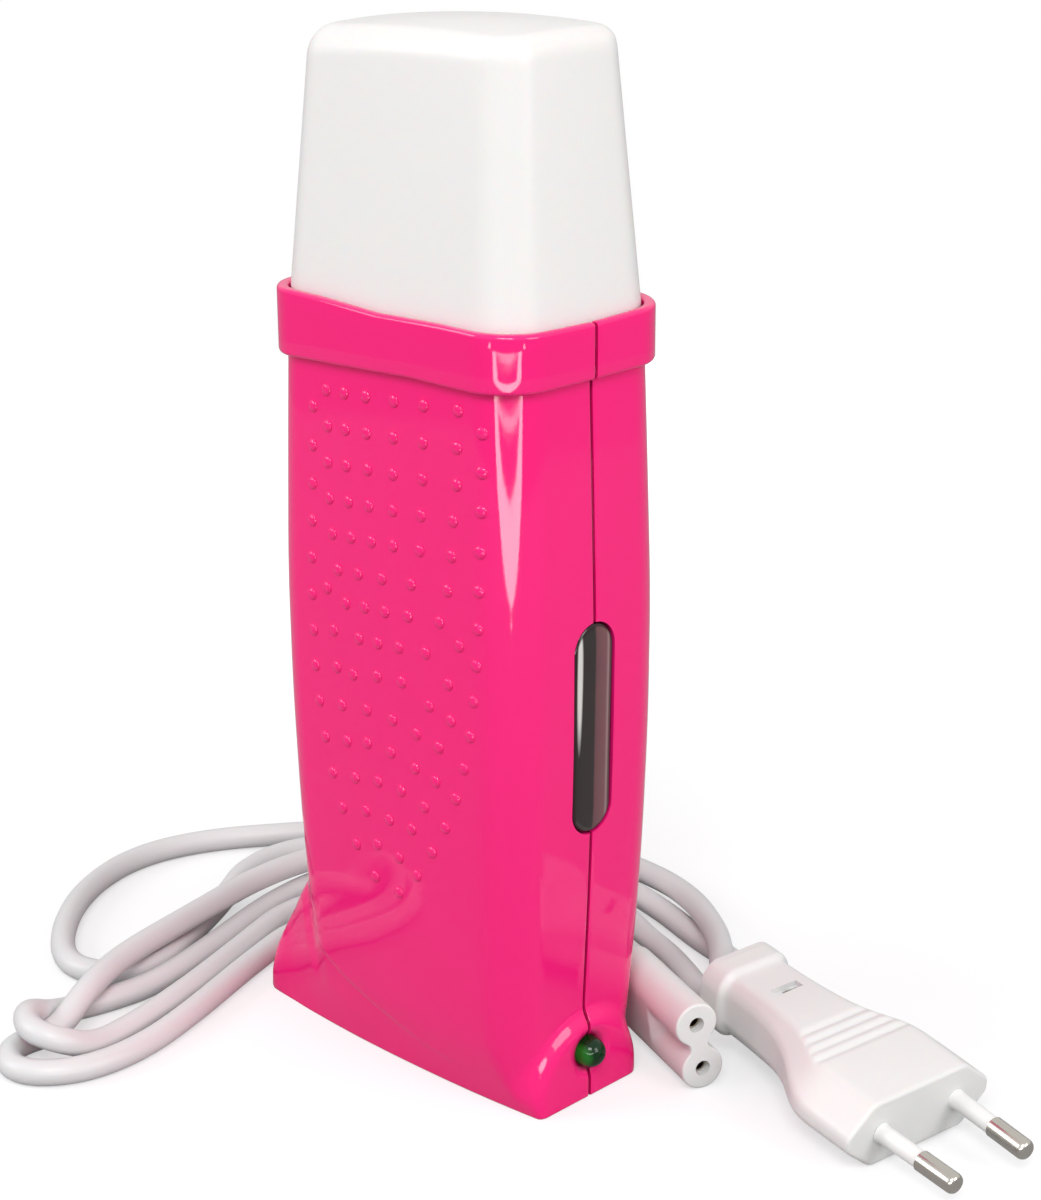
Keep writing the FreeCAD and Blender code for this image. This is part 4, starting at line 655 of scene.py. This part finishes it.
# a painted highlight as a bright strip down one side of the lens, and painted shade as a dark line in the gap where
# lens and shell meet
masked(smoked, (0.62, 0.60, 0.58), scaled_length((0, -0.0037, 0.0870), (0, 1, 0.05)), 0.00045, 0.0008)
painted_gap_shade = scaled_length((0, 0, WINDOW_HEIGHT * MM), (0, 1, 1), LENS_STRAIGHT * MM)
masked(smoked, (0.02, 0.003, 0.006), painted_gap_shade, 0.0046, 0.0042)
place_piece("window_lens_moulding", bm, smoked, "housing", "window_lens", ("level_window",), crease=40)

# ---- Indicator lamp ----
# A six-millimetre green-tinted diffused lamp whose dome stands out of a small dished
# boss low on the narrow side. It is pushed in from behind on its board.


def turned(profile, segments=48, matrix=Matrix.Identity(4)):
    # a lathe profile of (along, radius) pairs spun about the X axis
    bm = bmesh.new()
    verts = [bm.verts.new((along, radius, 0)) for along, radius in profile]
    edges = [bm.edges.new(pair) for pair in zip(verts, verts[1:])]
    bmesh.ops.spin(bm, geom=verts + edges, cent=(0, 0, 0), axis=(1, 0, 0), angle=2 * math.pi, steps=segments,
                   use_merge=True)
    bmesh.ops.remove_doubles(bm, verts=bm.verts, dist=1e-5)
    to_metres(bm, matrix)
    return bm


LAMP_RADIUS = 3.0
LAMP_DOME = 32.3
LAMP_FLANGE = 3.05
dome = [(LAMP_DOME + LAMP_RADIUS * math.sin(a), LAMP_RADIUS * math.cos(a)) for a in np.radians(np.linspace(0, 90, 13))]
green_lens = moulded("green_lamp_lens", (0.0, 0.022, 0.003), 0.04, tone_shift=0.2, gloss_shift=0.03, patch=300.0,
                     IOR=1.5, Specular_IOR_Level=0.3)
# painted light: a lighter green crescent on one side of the dome, where light comes through it
painted_glow_side = ((AXIS_X + 33.0) * MM, -0.0034, LAMP_HEIGHT * MM)
masked(green_lens, (0.01, 0.15, 0.012), scaled_length(painted_glow_side, (0.3, 1, 0.45)), 0.0010, 0.0020)
LAMP = [(24.6, 0), (24.6, LAMP_FLANGE), (25.8, LAMP_FLANGE), (25.8, LAMP_RADIUS)] + dome
place_piece("green_lamp", turned(LAMP, matrix=Matrix.Translation((AXIS_X, 0, LAMP_HEIGHT))), green_lens, "housing",
            "green_lens", ("indicator_led",), crease=40)

# ---- Screw wells ----
# Two pillars inside the rear half carry the shell screws. The screw heads sit at the
# bottom of open wells, so the driver reaches them from the rear side.
WELL_INNER, WELL_OUTER = SCREW_BORE + 0.02, 4.2
WELL = [(8.0, WELL_INNER), (8.0, WELL_OUTER), (16.6, WELL_OUTER), (16.6, WELL_INNER), (8.0, WELL_INNER)]


def turned_set(name, profile, places, segments, *dress, crease=32):
    # one piece of several equal turnings
    bm = bmesh.new()
    for place in places:
        one = turned(profile, segments, place)
        mesh = bpy.data.meshes.new(name)
        one.to_mesh(mesh)
        one.free()
        bm.from_mesh(mesh)
        bpy.data.meshes.remove(mesh)
    return place_piece(name, bm, *dress, crease=crease)


turned_set("screw_wells", WELL, [Matrix.Translation(place) @ ALONG_Y for place in SCREW_PLACES], 48, pink_abs,
           "housing", "pink_shell")

# ---- Plug ----
# A flat two-pin mains plug, overmoulded in one shot of soft white PVC on the cord. It
# has a broad nose, finger ribs, a waist with a slot, and a flange at its tail.
plug_place = (Matrix.Translation((88.7 + AXIS_X, 27.9, 7.35)) @ Matrix.Rotation(math.radians(-9.45), 4, "Z")
              @ Matrix.Rotation(math.radians(5.72), 4, "Y") @ Matrix.Rotation(math.radians(2.0), 4, "X"))
#                          u   half w  top w  half h  side h
PLUG_SECTIONS = np.array(((-56.0, 7.8, 6.0, 6.6, 4.0), (-47.4, 7.8, 6.0, 6.6, 4.0), (-40.0, 7.9, 6.0, 6.8, 4.2),
                          (-34.0, 8.4, 6.2, 7.0, 4.2), (-29.0, 9.6, 6.7, 7.1, 3.8), (-25.0, 11.4, 7.6, 7.1, 3.2),
                          (-21.0, 13.9, 9.2, 7.05, 2.7), (-17.5, 16.0, 11.0, 7.0, 2.2), (-14.5, 17.2, 11.7, 6.97, 1.8),
                          (-12.0, 17.6, 11.8, 6.95, 1.6), (0.0, 17.6, 11.4, 6.85, 1.4), (8.0, 17.6, 11.4, 6.85, 1.4)))
RIB_GROOVES = (-24.0, -21.4, -18.8, -16.2)
FLANGE = (9.1, 6.6, 7.5, 4.6)
FLANGE_MIDDLE = -49.8
PLUG_TAIL = -51.5
PLUG_NOSE = -1.2
NOSE_INSET = 1.4
SLOT = ((-38.7, -3.2, 5.6), (-36.5, 3.2, 9.0))
SLOT_PIT = ((-38.2, -0.6, 3.6), (-37.0, 3.0, 7.0))
PIN_BORE = 1.76
CORD_BORE = 2.6
PIN_HALF_PITCH = 9.3
PIN_LEAN = 1.66


def eight_sided(v, w, wide, top_wide, high, side_high, corner):
    slope = np.stack((high - side_high, wide - top_wide))
    slope = slope / np.hypot(*slope)
    cut = (abs(v) - wide) * slope[0] + (abs(w) - side_high) * slope[1]
    return within_both(within_both(abs(v) - wide, cut, corner), abs(w) - high, corner)


def plug_skin(u, v, w):
    wide, top_wide, high, side_high = (sum(np.interp(u + d, PLUG_SECTIONS[:, 0], PLUG_SECTIONS[:, k])
                                           for d in (-1.6, -0.8, 0, 0.8, 1.6)) / 5 for k in (1, 2, 3, 4))
    for groove in RIB_GROOVES:
        high = high - 0.5 * np.exp(-((u - groove) / 0.8) ** 2) * np.clip((top_wide + 0.4 - abs(v)) / 1.2, 0, 1)
    barrel = eight_sided(v, w, wide, top_wide, high, side_high, 0.8)
    barrel = within_both(barrel, u, 0.7)
    one = np.ones_like(u)
    flange = eight_sided(v, w, *(size * one for size in FLANGE), 1.1)
    flange = within_both(flange, abs(u - FLANGE_MIDDLE) - 3.0, 0.8)
    return within_either(np.maximum(barrel, -50.0 - u), flange, 1.6)


def around(count, tall_share, wide_share):
    # unit directions round a lying piece, spread so that its long sides get their share
    spin = np.linspace(0, 2 * math.pi, count)
    spread = np.arctan2(np.sin(spin) * tall_share, np.cos(spin) * wide_share)
    return np.cos(spread), np.sin(spread), 0 * spread


def end_rows(skin, at, inset, tilts, way, directions, far):
    # rows round a closed end at u, from rays that fan out of a smaller outline towards way
    run, cross, none = directions
    core = reach(skin, (none + at, none, none), (none, run, cross), far) - inset
    return [skin_row(skin, (none + at, run * core, cross * core),
                     (none + way * math.sin(a), run * math.cos(a), cross * math.cos(a)), far / 2)
            for a in np.radians(tilts)]


def metric(place):
    # a placement in millimetres for a mesh in metres
    return Matrix.Scale(MM, 4) @ place @ Matrix.Scale(1 / MM, 4)


def lying_piece(name, rows, place):
    bm, _ = grid_of(np.array(rows))
    bmesh.ops.remove_doubles(bm, verts=bm.verts, dist=2e-6)
    close_holes(bm)
    bmesh.ops.transform(bm, matrix=metric(place), verts=bm.verts)
    bmesh.ops.recalc_face_normals(bm, faces=bm.faces)
    return object_from(name, bm)


def moved(cutter, place):
    cutter.data.transform(metric(place))
    return cutter


stations = np.concatenate((np.linspace(-52.3, -46, 22), np.linspace(-45.5, -27, 16), np.linspace(-26.3, -13.6, 62),
                           np.linspace(-12.6, PLUG_NOSE, 8)))
run, cross, none = directions = around(177, 0.62, 1.0)
plug_rows = [skin_row(plug_skin, (none + PLUG_TAIL, none, none),
                      (none - math.sin(a), run * math.cos(a), cross * math.cos(a)), far=40)
             for a in np.radians(np.linspace(90, 12, 8))]
plug_rows += [skin_row(plug_skin, (u + none, none, none), (none, run, cross), far=40) for u in stations]
plug_rows += end_rows(plug_skin, PLUG_NOSE, NOSE_INSET, np.linspace(8, 90, 8), 1, directions, 40)
shoulder = reach(plug_skin, (none + PLUG_NOSE, none, none), (none, run, cross), far=40) - NOSE_INSET
for share in (0.66, 0.33, 0.0):
    plug_rows.append(np.stack((none, run * shoulder * share, cross * shoulder * share), axis=1))
plug = lying_piece("plug_moulding", plug_rows, plug_place)
pin_places = [plug_place @ Matrix.Translation((0, s * PIN_HALF_PITCH, 0))
              @ Matrix.Rotation(math.radians(-s * PIN_LEAN), 4, "Z") for s in (-1, 1)]
carve(plug, [moved(box_cutter(*SLOT, 0.2), plug_place), moved(box_cutter(*SLOT_PIT, 0.2), plug_place),
             moved(rod_cutter(CORD_BORE, -58, -46.9, (0, 0, 0)), plug_place)]
      + [moved(rod_cutter(PIN_BORE, -14, 3, (0, 0, 0)), place) for place in pin_places])
white_pvc = moulded("soft_white_pvc", (0.74, 0.735, 0.725), 0.42, tone_shift=0.04, gloss_shift=0.1, patch=60.0,
                    grain=1800.0, grain_share=0.6, relief=0.12, Subsurface_Weight=0.12, Subsurface_Scale=0.002,
                    IOR=1.5)
# the slot in the waist is too deep for light
slot_floor = plug_place @ Vector((-37.6, 0.6, 4.3)) * MM
masked(white_pvc, (0.09, 0.09, 0.09), scaled_length(slot_floor, (0.6, 0.6, 1)), 0.0011, 0.0016)
dress_piece(plug, white_pvc, "mains_lead", ("plug_body",), crease=40)

# ---- Plug pins ----
# Nickel-plated brass pins, turned and rounded at the tip. A white nylon sleeve covers
# the half next to the plug, and both pins lean a little towards each other.
SLEEVE = [(-2.0, 1.4), (-2.0, 1.75), (0.0, 1.75), (0.05, 2.05), (0.6, 1.9), (1.4, 1.8), (9.9, 1.75), (10.0, 1.7),
          (10.0, 1.4), (-2.0, 1.4)]
PIN = [(-14.0, 0), (-14.0, 1.39), (10.0, 1.39), (10.0, 1.9), (10.1, 2.0), (17.9, 2.0), (18.3, 1.93), (18.7, 1.7),
       (18.93, 1.3), (19.0, 0.8), (19.0, 0)]
nylon = moulded("white_nylon_sleeve", (0.78, 0.775, 0.76), 0.36, grain=2500.0, relief=0.08, IOR=1.53)
nickel = moulded("nickel_plate", (0.5, 0.475, 0.43), 0.18, tone_shift=0.12, gloss_shift=0.14, patch=260.0,
                 grain=4000.0, relief=0.06, Metallic=1.0)
pin_sleeves = turned_set("pin_sleeve_pair", SLEEVE, pin_places, 40, nylon, "mains_lead", "white_nylon",
                         ("pin_sleeves",), crease=40)
pins = turned_set("plug_pin_pair", PIN, pin_places, 40, nickel, "mains_lead", "nickel_pins", ("plug_pins",), crease=40)

# ---- Connector ----
# The lead's other end: a two-pole appliance connector of the same white PVC, standing
# on its edge on the table, with a figure-of-eight nose and two open sockets.
POLE_HALF = 4.85
LOBE = 4.35
CONNECTOR_LENGTH = 27.0
NOSE_RUN = 13.0
NOSE_BLEND = 3.5
NOSE_WAIST = 2.4
SOCKET_RADIUS = 1.55
SOCKET_DEPTH = 9.5
connector_place = (Matrix.Translation((45.4 + AXIS_X, 16.6, 9.2)) @ Matrix.Rotation(math.radians(-21.0), 4, "Z")
                   @ Matrix.Rotation(math.radians(9.0), 4, "X"))


def connector_skin(u, v, w):
    lobes = np.hypot(v, abs(w) - POLE_HALF) - LOBE
    full = np.hypot(v, np.maximum(abs(w) - POLE_HALF, 0)) - LOBE
    notch = np.clip((u + NOSE_RUN) / NOSE_BLEND, 0, 1)
    web = np.maximum(abs(v) - (LOBE - NOSE_WAIST * notch), abs(w) - POLE_HALF)
    waist = within_either(lobes, web, 0.5)
    shape = np.where(notch > 0, waist, full)
    return within_both(shape, np.maximum(u, -CONNECTOR_LENGTH - u), 0.45)


run, cross, none = directions = around(129, 1.0, 0.62)
connector_rows = end_rows(connector_skin, -26.4, 0.8, np.linspace(90, 6, 7), -1, directions, 20)
for u in np.concatenate((np.linspace(-26.2, -14, 8), np.linspace(-13.4, -9, 14), np.linspace(-8, -0.8, 8))):
    connector_rows.append(skin_row(connector_skin, (u + none, none, none), (none, run, cross), far=20))
connector_rows += end_rows(connector_skin, -0.7, 0.8, np.linspace(10, 90, 7), 1, directions, 20)
connector = lying_piece("connector_moulding", connector_rows, connector_place)
carve(connector, [moved(rod_cutter(SOCKET_RADIUS, -SOCKET_DEPTH, 2, (0, 0, s * POLE_HALF)), connector_place)
                  for s in (-1, 1)])
dress_piece(connector, white_pvc, "mains_lead", ("connector_body",), crease=40)
brass = moulded("rolled_brass", (0.34, 0.29, 0.22), 0.32, tone_shift=0.15, gloss_shift=0.15, patch=300.0, Metallic=1.0)
CONTACT = [(-9.4, 1.22), (-9.4, 1.5), (-2.0, 1.5), (-2.0, 1.22), (-9.4, 1.22)]
contacts = turned_set("rolled_contacts", CONTACT,
                      [connector_place @ Matrix.Translation((0, 0, s * POLE_HALF)) for s in (-1, 1)], 32, brass,
                      "mains_lead", "contact_brass", ("connector_contacts",))

# ---- Mains cord ----
# A round two-core PVC flex, 5.2 mm thick. It leaves the connector behind the heater,
# folds back on itself beside the toe and behind the body, and ends in the plug.
CORD_RADIUS = 2.6
REST = CORD_RADIUS
OVER = REST + 2 * CORD_RADIUS + 0.1


def by_axis(place, along):
    # a point on a moulding's own line, seen from the body's axis
    point = place @ Vector((along, 0, 0))
    return point.x - AXIS_X, point.y, point.z


# x, y and height along the cord's middle; a pair lies on the table
ROUTE = [by_axis(connector_place, -34.0), by_axis(connector_place, -42.0), (-9, 31.4, 7.9), (-20, 31.4, 4.2),
         (-31, 31.3), (-48, 24), (-58.5, 6), (-52.4, -14), (-45, -34), (-40.5, -50), (-41, -63), (-46.5, -71.5),
         (-53.5, -73.6), (-59.3, -68), (-56.6, -59.2, 3.2), (-59.5, -49.5, 8.2), (-66, -36, 8.0), (-70.5, -14, OVER),
         (-75, 8, OVER), (-73.5, 27, OVER), (-61.5, 43, OVER), (-46, 50.5, 4.8), (-28, 53.5), (-9, 49.2), (0.5, 45.6),
         (8.5, 43.8), (15.8, 40.4), (17.0, 34.4), (11, 30.8), (3, 30.8), (-6, 34.6), (-16, 39.5), (-29, 43.5),
         (-46, 38.5), (-60.5, 26), (-66.6, 9.5), (-59.6, -10), (-52.8, -30), (-48.6, -47), (-46.3, -58, 3.6),
         (-46.9, -65.4, 7.3), (-53.4, -68.2, 8.4), (-60.2, -64, 8.4), (-63.6, -55.8, 3.2), (-61.2, -44.5),
         (-59.8, -32), (-64.5, -14), (-71.2, 6.5), (-73, 24), (-67.5, 42.5), (-52, 57), (-30, 62.8), (-11, 57.8),
         (-2, 53.6), (6, 51.2), (14.5, 47.4), (22.0, 43.4), (29.4, 44.6), (29.0, 53.4), (18.5, 58.2), (6, 60.9),
         (-8, 65.7), (-28, 69.5), (-52, 66.5), (-72, 54), (-88.5, 34), (-90, 17), (-80, 2), (-72, -14), (-66, -27),
         (-69.6, -37.3), (-80.5, -40.3), (-94.5, -30.7), (-106.5, -15.5), (-112, 2.2), (-107.5, 19.5), (-95, 37),
         (-80, 56.5), (-56, 73), (-31, 77.5), (-12, 73, 5.0), (3, 65, 7.6), (16, 55.6, 9.2), (26, 45.5, 11.6),
         by_axis(plug_place, -56.3), by_axis(plug_place, -46.8)]
line = bpy.data.curves.new("mains_flex", "CURVE")
line.dimensions = "3D"
spline = line.splines.new("NURBS")
spline.points.add(len(ROUTE) - 1)
for point, (x, y, *height) in zip(spline.points, ROUTE):
    point.co = ((x + AXIS_X) * MM, y * MM, (height[0] if height else REST) * MM, 1)
spline.order_u = 3
spline.use_endpoint_u = True
spline.resolution_u = 8
flex = new_object("mains_flex", line)
centre_line = bpy.data.meshes.new_from_object(flex.evaluated_get(bpy.context.evaluated_depsgraph_get()))
route_points = [v.co.copy() for v in centre_line.vertices]
bpy.data.meshes.remove(centre_line)
line.bevel_depth = CORD_RADIUS * MM
line.bevel_resolution = 7
line.use_fill_caps = True
cord_pvc = moulded("pvc_flex_sheath", (0.66, 0.655, 0.66), 0.40, tone_shift=0.05, gloss_shift=0.1, patch=70.0,
                   grain=1400.0, grain_share=0.5, relief=0.12, Subsurface_Weight=0.1, Subsurface_Scale=0.002,
                   IOR=1.5)
line.materials.append(cord_pvc)
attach(flex, "mains_lead")
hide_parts("mains_cord")

# ---- Strain relief ----
# A tapered PVC sleeve moulded on behind the connector, ribbed so that it bends with
# the cord. It follows the cord as it drops from the connector to the table.
RELIEF_RUN = 17.0
RELIEF_START = 7.0
RELIEF_RADIUS = 3.75
RELIEF_TAPER = 0.042
RIB_PITCH = 2.4
RIB_DEPTH = 0.28
LAST_RIB = 20
way_out = connector_place.to_3x3() @ Vector((-1, 0, 0))
sections = [(connector_place @ Vector((u, 0, 0)), way_out, -u - CONNECTOR_LENGTH) for u in np.linspace(-26.9, -34.0, 9)]
travelled = 0.0
for a, b in zip(route_points, route_points[1:]):
    if travelled > 0:
        sections.append((a / MM, (b - a).normalized(), RELIEF_START + travelled))
    travelled += (b - a).length / MM
    if travelled > RELIEF_RUN:
        break
bm = bmesh.new()
ring = bmesh.ops.create_circle(bm, cap_ends=False, segments=40, radius=1.0)["verts"]
flat = [v.co.copy() for v in ring]
edges = edges_of(ring)
for k, (at, way, s) in enumerate(sections):
    rib = RIB_DEPTH * (0.5 - 0.5 * math.cos(2 * math.pi * s / RIB_PITCH)) if s < LAST_RIB else 0.0
    radius = RELIEF_RADIUS - RELIEF_TAPER * s - rib
    turn = way.to_track_quat("Z", "Y").to_matrix().to_4x4()
    if k:
        ring, edges = next_ring(bm, edges)
    for v, f in zip(ring, flat):
        v.co = (Matrix.Translation(at) @ turn @ (f * radius)) * MM
close_holes(bm)
relief = place_piece("connector_relief_moulding", bm, white_pvc, "mains_lead", "white_pvc", ("connector_relief",),
                     crease=50)

# ---- Parts that stay as they were machined ----
# The warming chamber, its heater stack, the lamp board, the inlet, the screws and the
# inside wires keep their own solids and get the finish that each has from its supplier.
FINISHES = {
    "aluminium_sheet": ((0.78, 0.78, 0.79), 0.32, dict(Metallic=1.0, patch=90.0, gloss_shift=0.2, relief=0.1)),
    "orange_film": ((0.62, 0.26, 0.03), 0.2, dict(Coat_Weight=0.4, relief=0.1)),
    "ceramic_plate": ((0.6, 0.58, 0.54), 0.6, dict(relief=0.3)),
    "spring_steel": ((0.55, 0.55, 0.56), 0.3, dict(Metallic=1.0, relief=0.05)),
    "cutout_case": ((0.84, 0.81, 0.74), 0.5, dict()),
    "circuit_board": ((0.03, 0.16, 0.05), 0.35, dict(Coat_Weight=0.3, grain=3000.0)),
    "tinned_wire": ((0.7, 0.7, 0.71), 0.25, dict(Metallic=1.0)),
    "resistor_body": ((0.66, 0.54, 0.34), 0.4, dict(relief=0.2)),
    "dark_moulding": ((0.02, 0.02, 0.022), 0.38, dict(tone_shift=0.2, relief=0.15, grain=1600.0)),
    "nickel_pins": ((0.72, 0.69, 0.63), 0.2, dict(Metallic=1.0, gloss_shift=0.14)),
    "screw_steel": ((0.62, 0.62, 0.6), 0.3, dict(Metallic=1.0, gloss_shift=0.2, patch=400.0)),
    "brown_sleeve": ((0.16, 0.05, 0.02), 0.45, dict()),
    "blue_sleeve": ((0.01, 0.06, 0.36), 0.45, dict()),
    "white_sleeve": ((0.76, 0.76, 0.74), 0.45, dict()),
    }
made = {}
for part in frame["record"]["subparts"]:
    kind = part["material_slot"]
    if kind in FINISHES:
        if kind not in made:
            tone, rough, extra = FINISHES[kind]
            made[kind] = moulded(kind, tone, rough, **extra)
        for k in range(len(frame["nodes"][part["node"]].data.materials)):
            frame["nodes"][part["node"]].data.materials[k] = made[kind]

# ---- Studio ----
# A plain pale floor sheet under large soft lamps, seen from a little above and to the
# right. The background is white to the camera, and the floor keeps a soft shadow.
FLOOR_RADIUS = 0.55
bm = bmesh.new()
bmesh.ops.create_circle(bm, cap_ends=True, segments=96, radius=FLOOR_RADIUS,
                        matrix=Matrix.Translation((0, 0, -0.00005)))
floor = object_from("studio_floor", bm)
floor_paint, nodes, link, shader = new_material("floor_paint")
preset(shader, Base_Color=(0.44, 0.44, 0.445, 1), Roughness=0.9, Specular_IOR_Level=0.0, Emission_Color=(1, 1, 1, 1))
path, lift, where, away, rise = new_nodes(nodes, "LightPath", "Math", "TexCoord", "VectorMath", "MapRange")
away.operation = "LENGTH"
wire(link, (where, "Object", away, 0), (away, "Value", rise, "Value"))
preset(rise, From_Min=0.1, From_Max=0.42, To_Min=0.56, To_Max=0.86)
lift.operation = "MULTIPLY"
wire(link, (path, "Is Camera Ray", lift, 0), (rise, "Result", lift, 1), (lift, 0, shader, "Emission Strength"))
floor.data.materials.append(floor_paint)

# The world lights evenly at half strength, is white where the camera or a clear piece
# looks at it, and in gloss is white overhead and greyer towards the table's edge.
world = bpy.data.worlds.new("studio_world")
world.use_nodes = True
bpy.context.scene.world = world
nodes, link = world.node_tree.nodes, world.node_tree.links.new
sky = nodes["Background"]
path, where, split, tall_light, gloss, seen, strength = new_nodes(nodes, "LightPath", "TexCoord", "SeparateXYZ",
                                                                  "MapRange", "Mix", "Math", "Mix")
wire(link, (where, "Generated", split, 0), (split, "Z", tall_light, "Value"))
preset(tall_light, From_Min=-0.05, From_Max=0.35, To_Min=0.35, To_Max=1.0)
preset(gloss, A=0.5)
wire(link, (path, "Is Glossy Ray", gloss, "Factor"), (tall_light, "Result", gloss, "B"))
seen.operation = "MAXIMUM"
wire(link, (path, "Is Camera Ray", seen, 0), (path, "Is Transmission Ray", seen, 1))
preset(strength, B=1.0)
wire(link, (seen, 0, strength, "Factor"), (gloss, "Result", strength, "A"), (strength, "Result", sky, "Strength"))
preset(sky, Color=(1, 1, 1, 1))


LAMP_AIM = Vector((0, 0, 0.09))


def soft_lamp(name, place, width, height, watts):
    lamp_data = bpy.data.lights.new(name, "AREA")
    lamp_data.shape, lamp_data.size, lamp_data.size_y, lamp_data.energy = "RECTANGLE", width, height, watts
    lamp_object = new_object(name, lamp_data)
    lamp_object.location = place
    lamp_object.rotation_mode = "QUATERNION"
    lamp_object.rotation_quaternion = (LAMP_AIM - Vector(place)).to_track_quat("-Z", "Y")


soft_lamp("key_softbox", (0.75, -0.85, 1.2), 0.7, 0.5, 13.0)
soft_lamp("left_softbox", (-0.7, -0.9, 0.7), 0.6, 0.6, 6.0)
soft_lamp("right_softbox", (1.1, 0.15, 0.6), 0.5, 0.6, 5.0)

# A lit V-shaped card stands low in front of the near corner. Only gloss shows it, as the
# long tapering glint down the corner, so it adds nothing to the light on the object.
GLINT_AT = Vector((0.205, -0.19, 0.0))
GLINT_ACROSS = Vector((0.71, 0.70, 0.0))
bm = bmesh.new()
for outer, inner in ((((-0.1355, 0.0882), (-0.112, 0.0623), (-0.07, 0.045), (0, 0.0297), (0.07, 0.045), (0.112, 0.0623),
                       (0.1355, 0.0882)),
                      ((-0.100, 0.0852), (-0.06, 0.070), (0, 0.0640), (0, 0.0640), (0, 0.0640), (0.06, 0.070),
                       (0.100, 0.0852))),
                     (((-0.1355, 0.0882), (0.1355, 0.0882)), ((-0.100, 0.0852), (0.100, 0.0852))),
                     (((-0.175, 0.094), (-0.165, 0.112)), ((-0.150, 0.094), (-0.145, 0.112))),
                     (((0.175, 0.094), (0.165, 0.112)), ((0.150, 0.094), (0.145, 0.112))),
                     (((-0.008, 0.021), (0.008, 0.021)), ((-0.008, 0.0235), (0.008, 0.0235)))):
    rails = [[bm.verts.new(GLINT_AT + GLINT_ACROSS * across + Vector((0, 0, up))) for across, up in loop]
             for loop in (outer, inner)]
    for k in range(len(outer) - 1):
        bmesh.ops.contextual_create(bm, geom=[rails[0][k], rails[0][k + 1], rails[1][k + 1], rails[1][k]])
bmesh.ops.remove_doubles(bm, verts=bm.verts, dist=1e-5)
glint_card = object_from("glint_card", bm)
glow, nodes, link, shader = new_material("glint_glow")
preset(shader, Base_Color=(0, 0, 0, 1), Emission_Color=(1, 1, 1, 1), Emission_Strength=11.0)
glint_card.data.materials.append(glow)
for kind in ("camera", "diffuse", "transmission", "volume_scatter", "shadow"):
    setattr(glint_card, "visible_" + kind, False)

# metres, degrees of roll, and the lens in millimetres, all from the fit to the photograph
CAMERA_AT = Vector((0.3429, -0.3248, 0.2580))
CAMERA_AIM = Vector((0.02068, 0, 0.09613))
CAMERA_ROLL = -0.24
CAMERA_LENS = 79.374
camera_data = bpy.data.cameras.new("studio_camera")
camera_data.lens = CAMERA_LENS
camera_data.clip_start, camera_data.clip_end = 0.01, 50.0
camera = new_object("studio_camera", camera_data)
camera.location = CAMERA_AT
camera.rotation_mode = "QUATERNION"
roll = Matrix.Rotation(math.radians(CAMERA_ROLL), 4, "Z").to_quaternion()
camera.rotation_quaternion = (CAMERA_AIM - CAMERA_AT).to_track_quat("-Z", "Y") @ roll
bpy.context.scene.camera = camera
bpy.context.scene.view_settings.view_transform = "Standard"
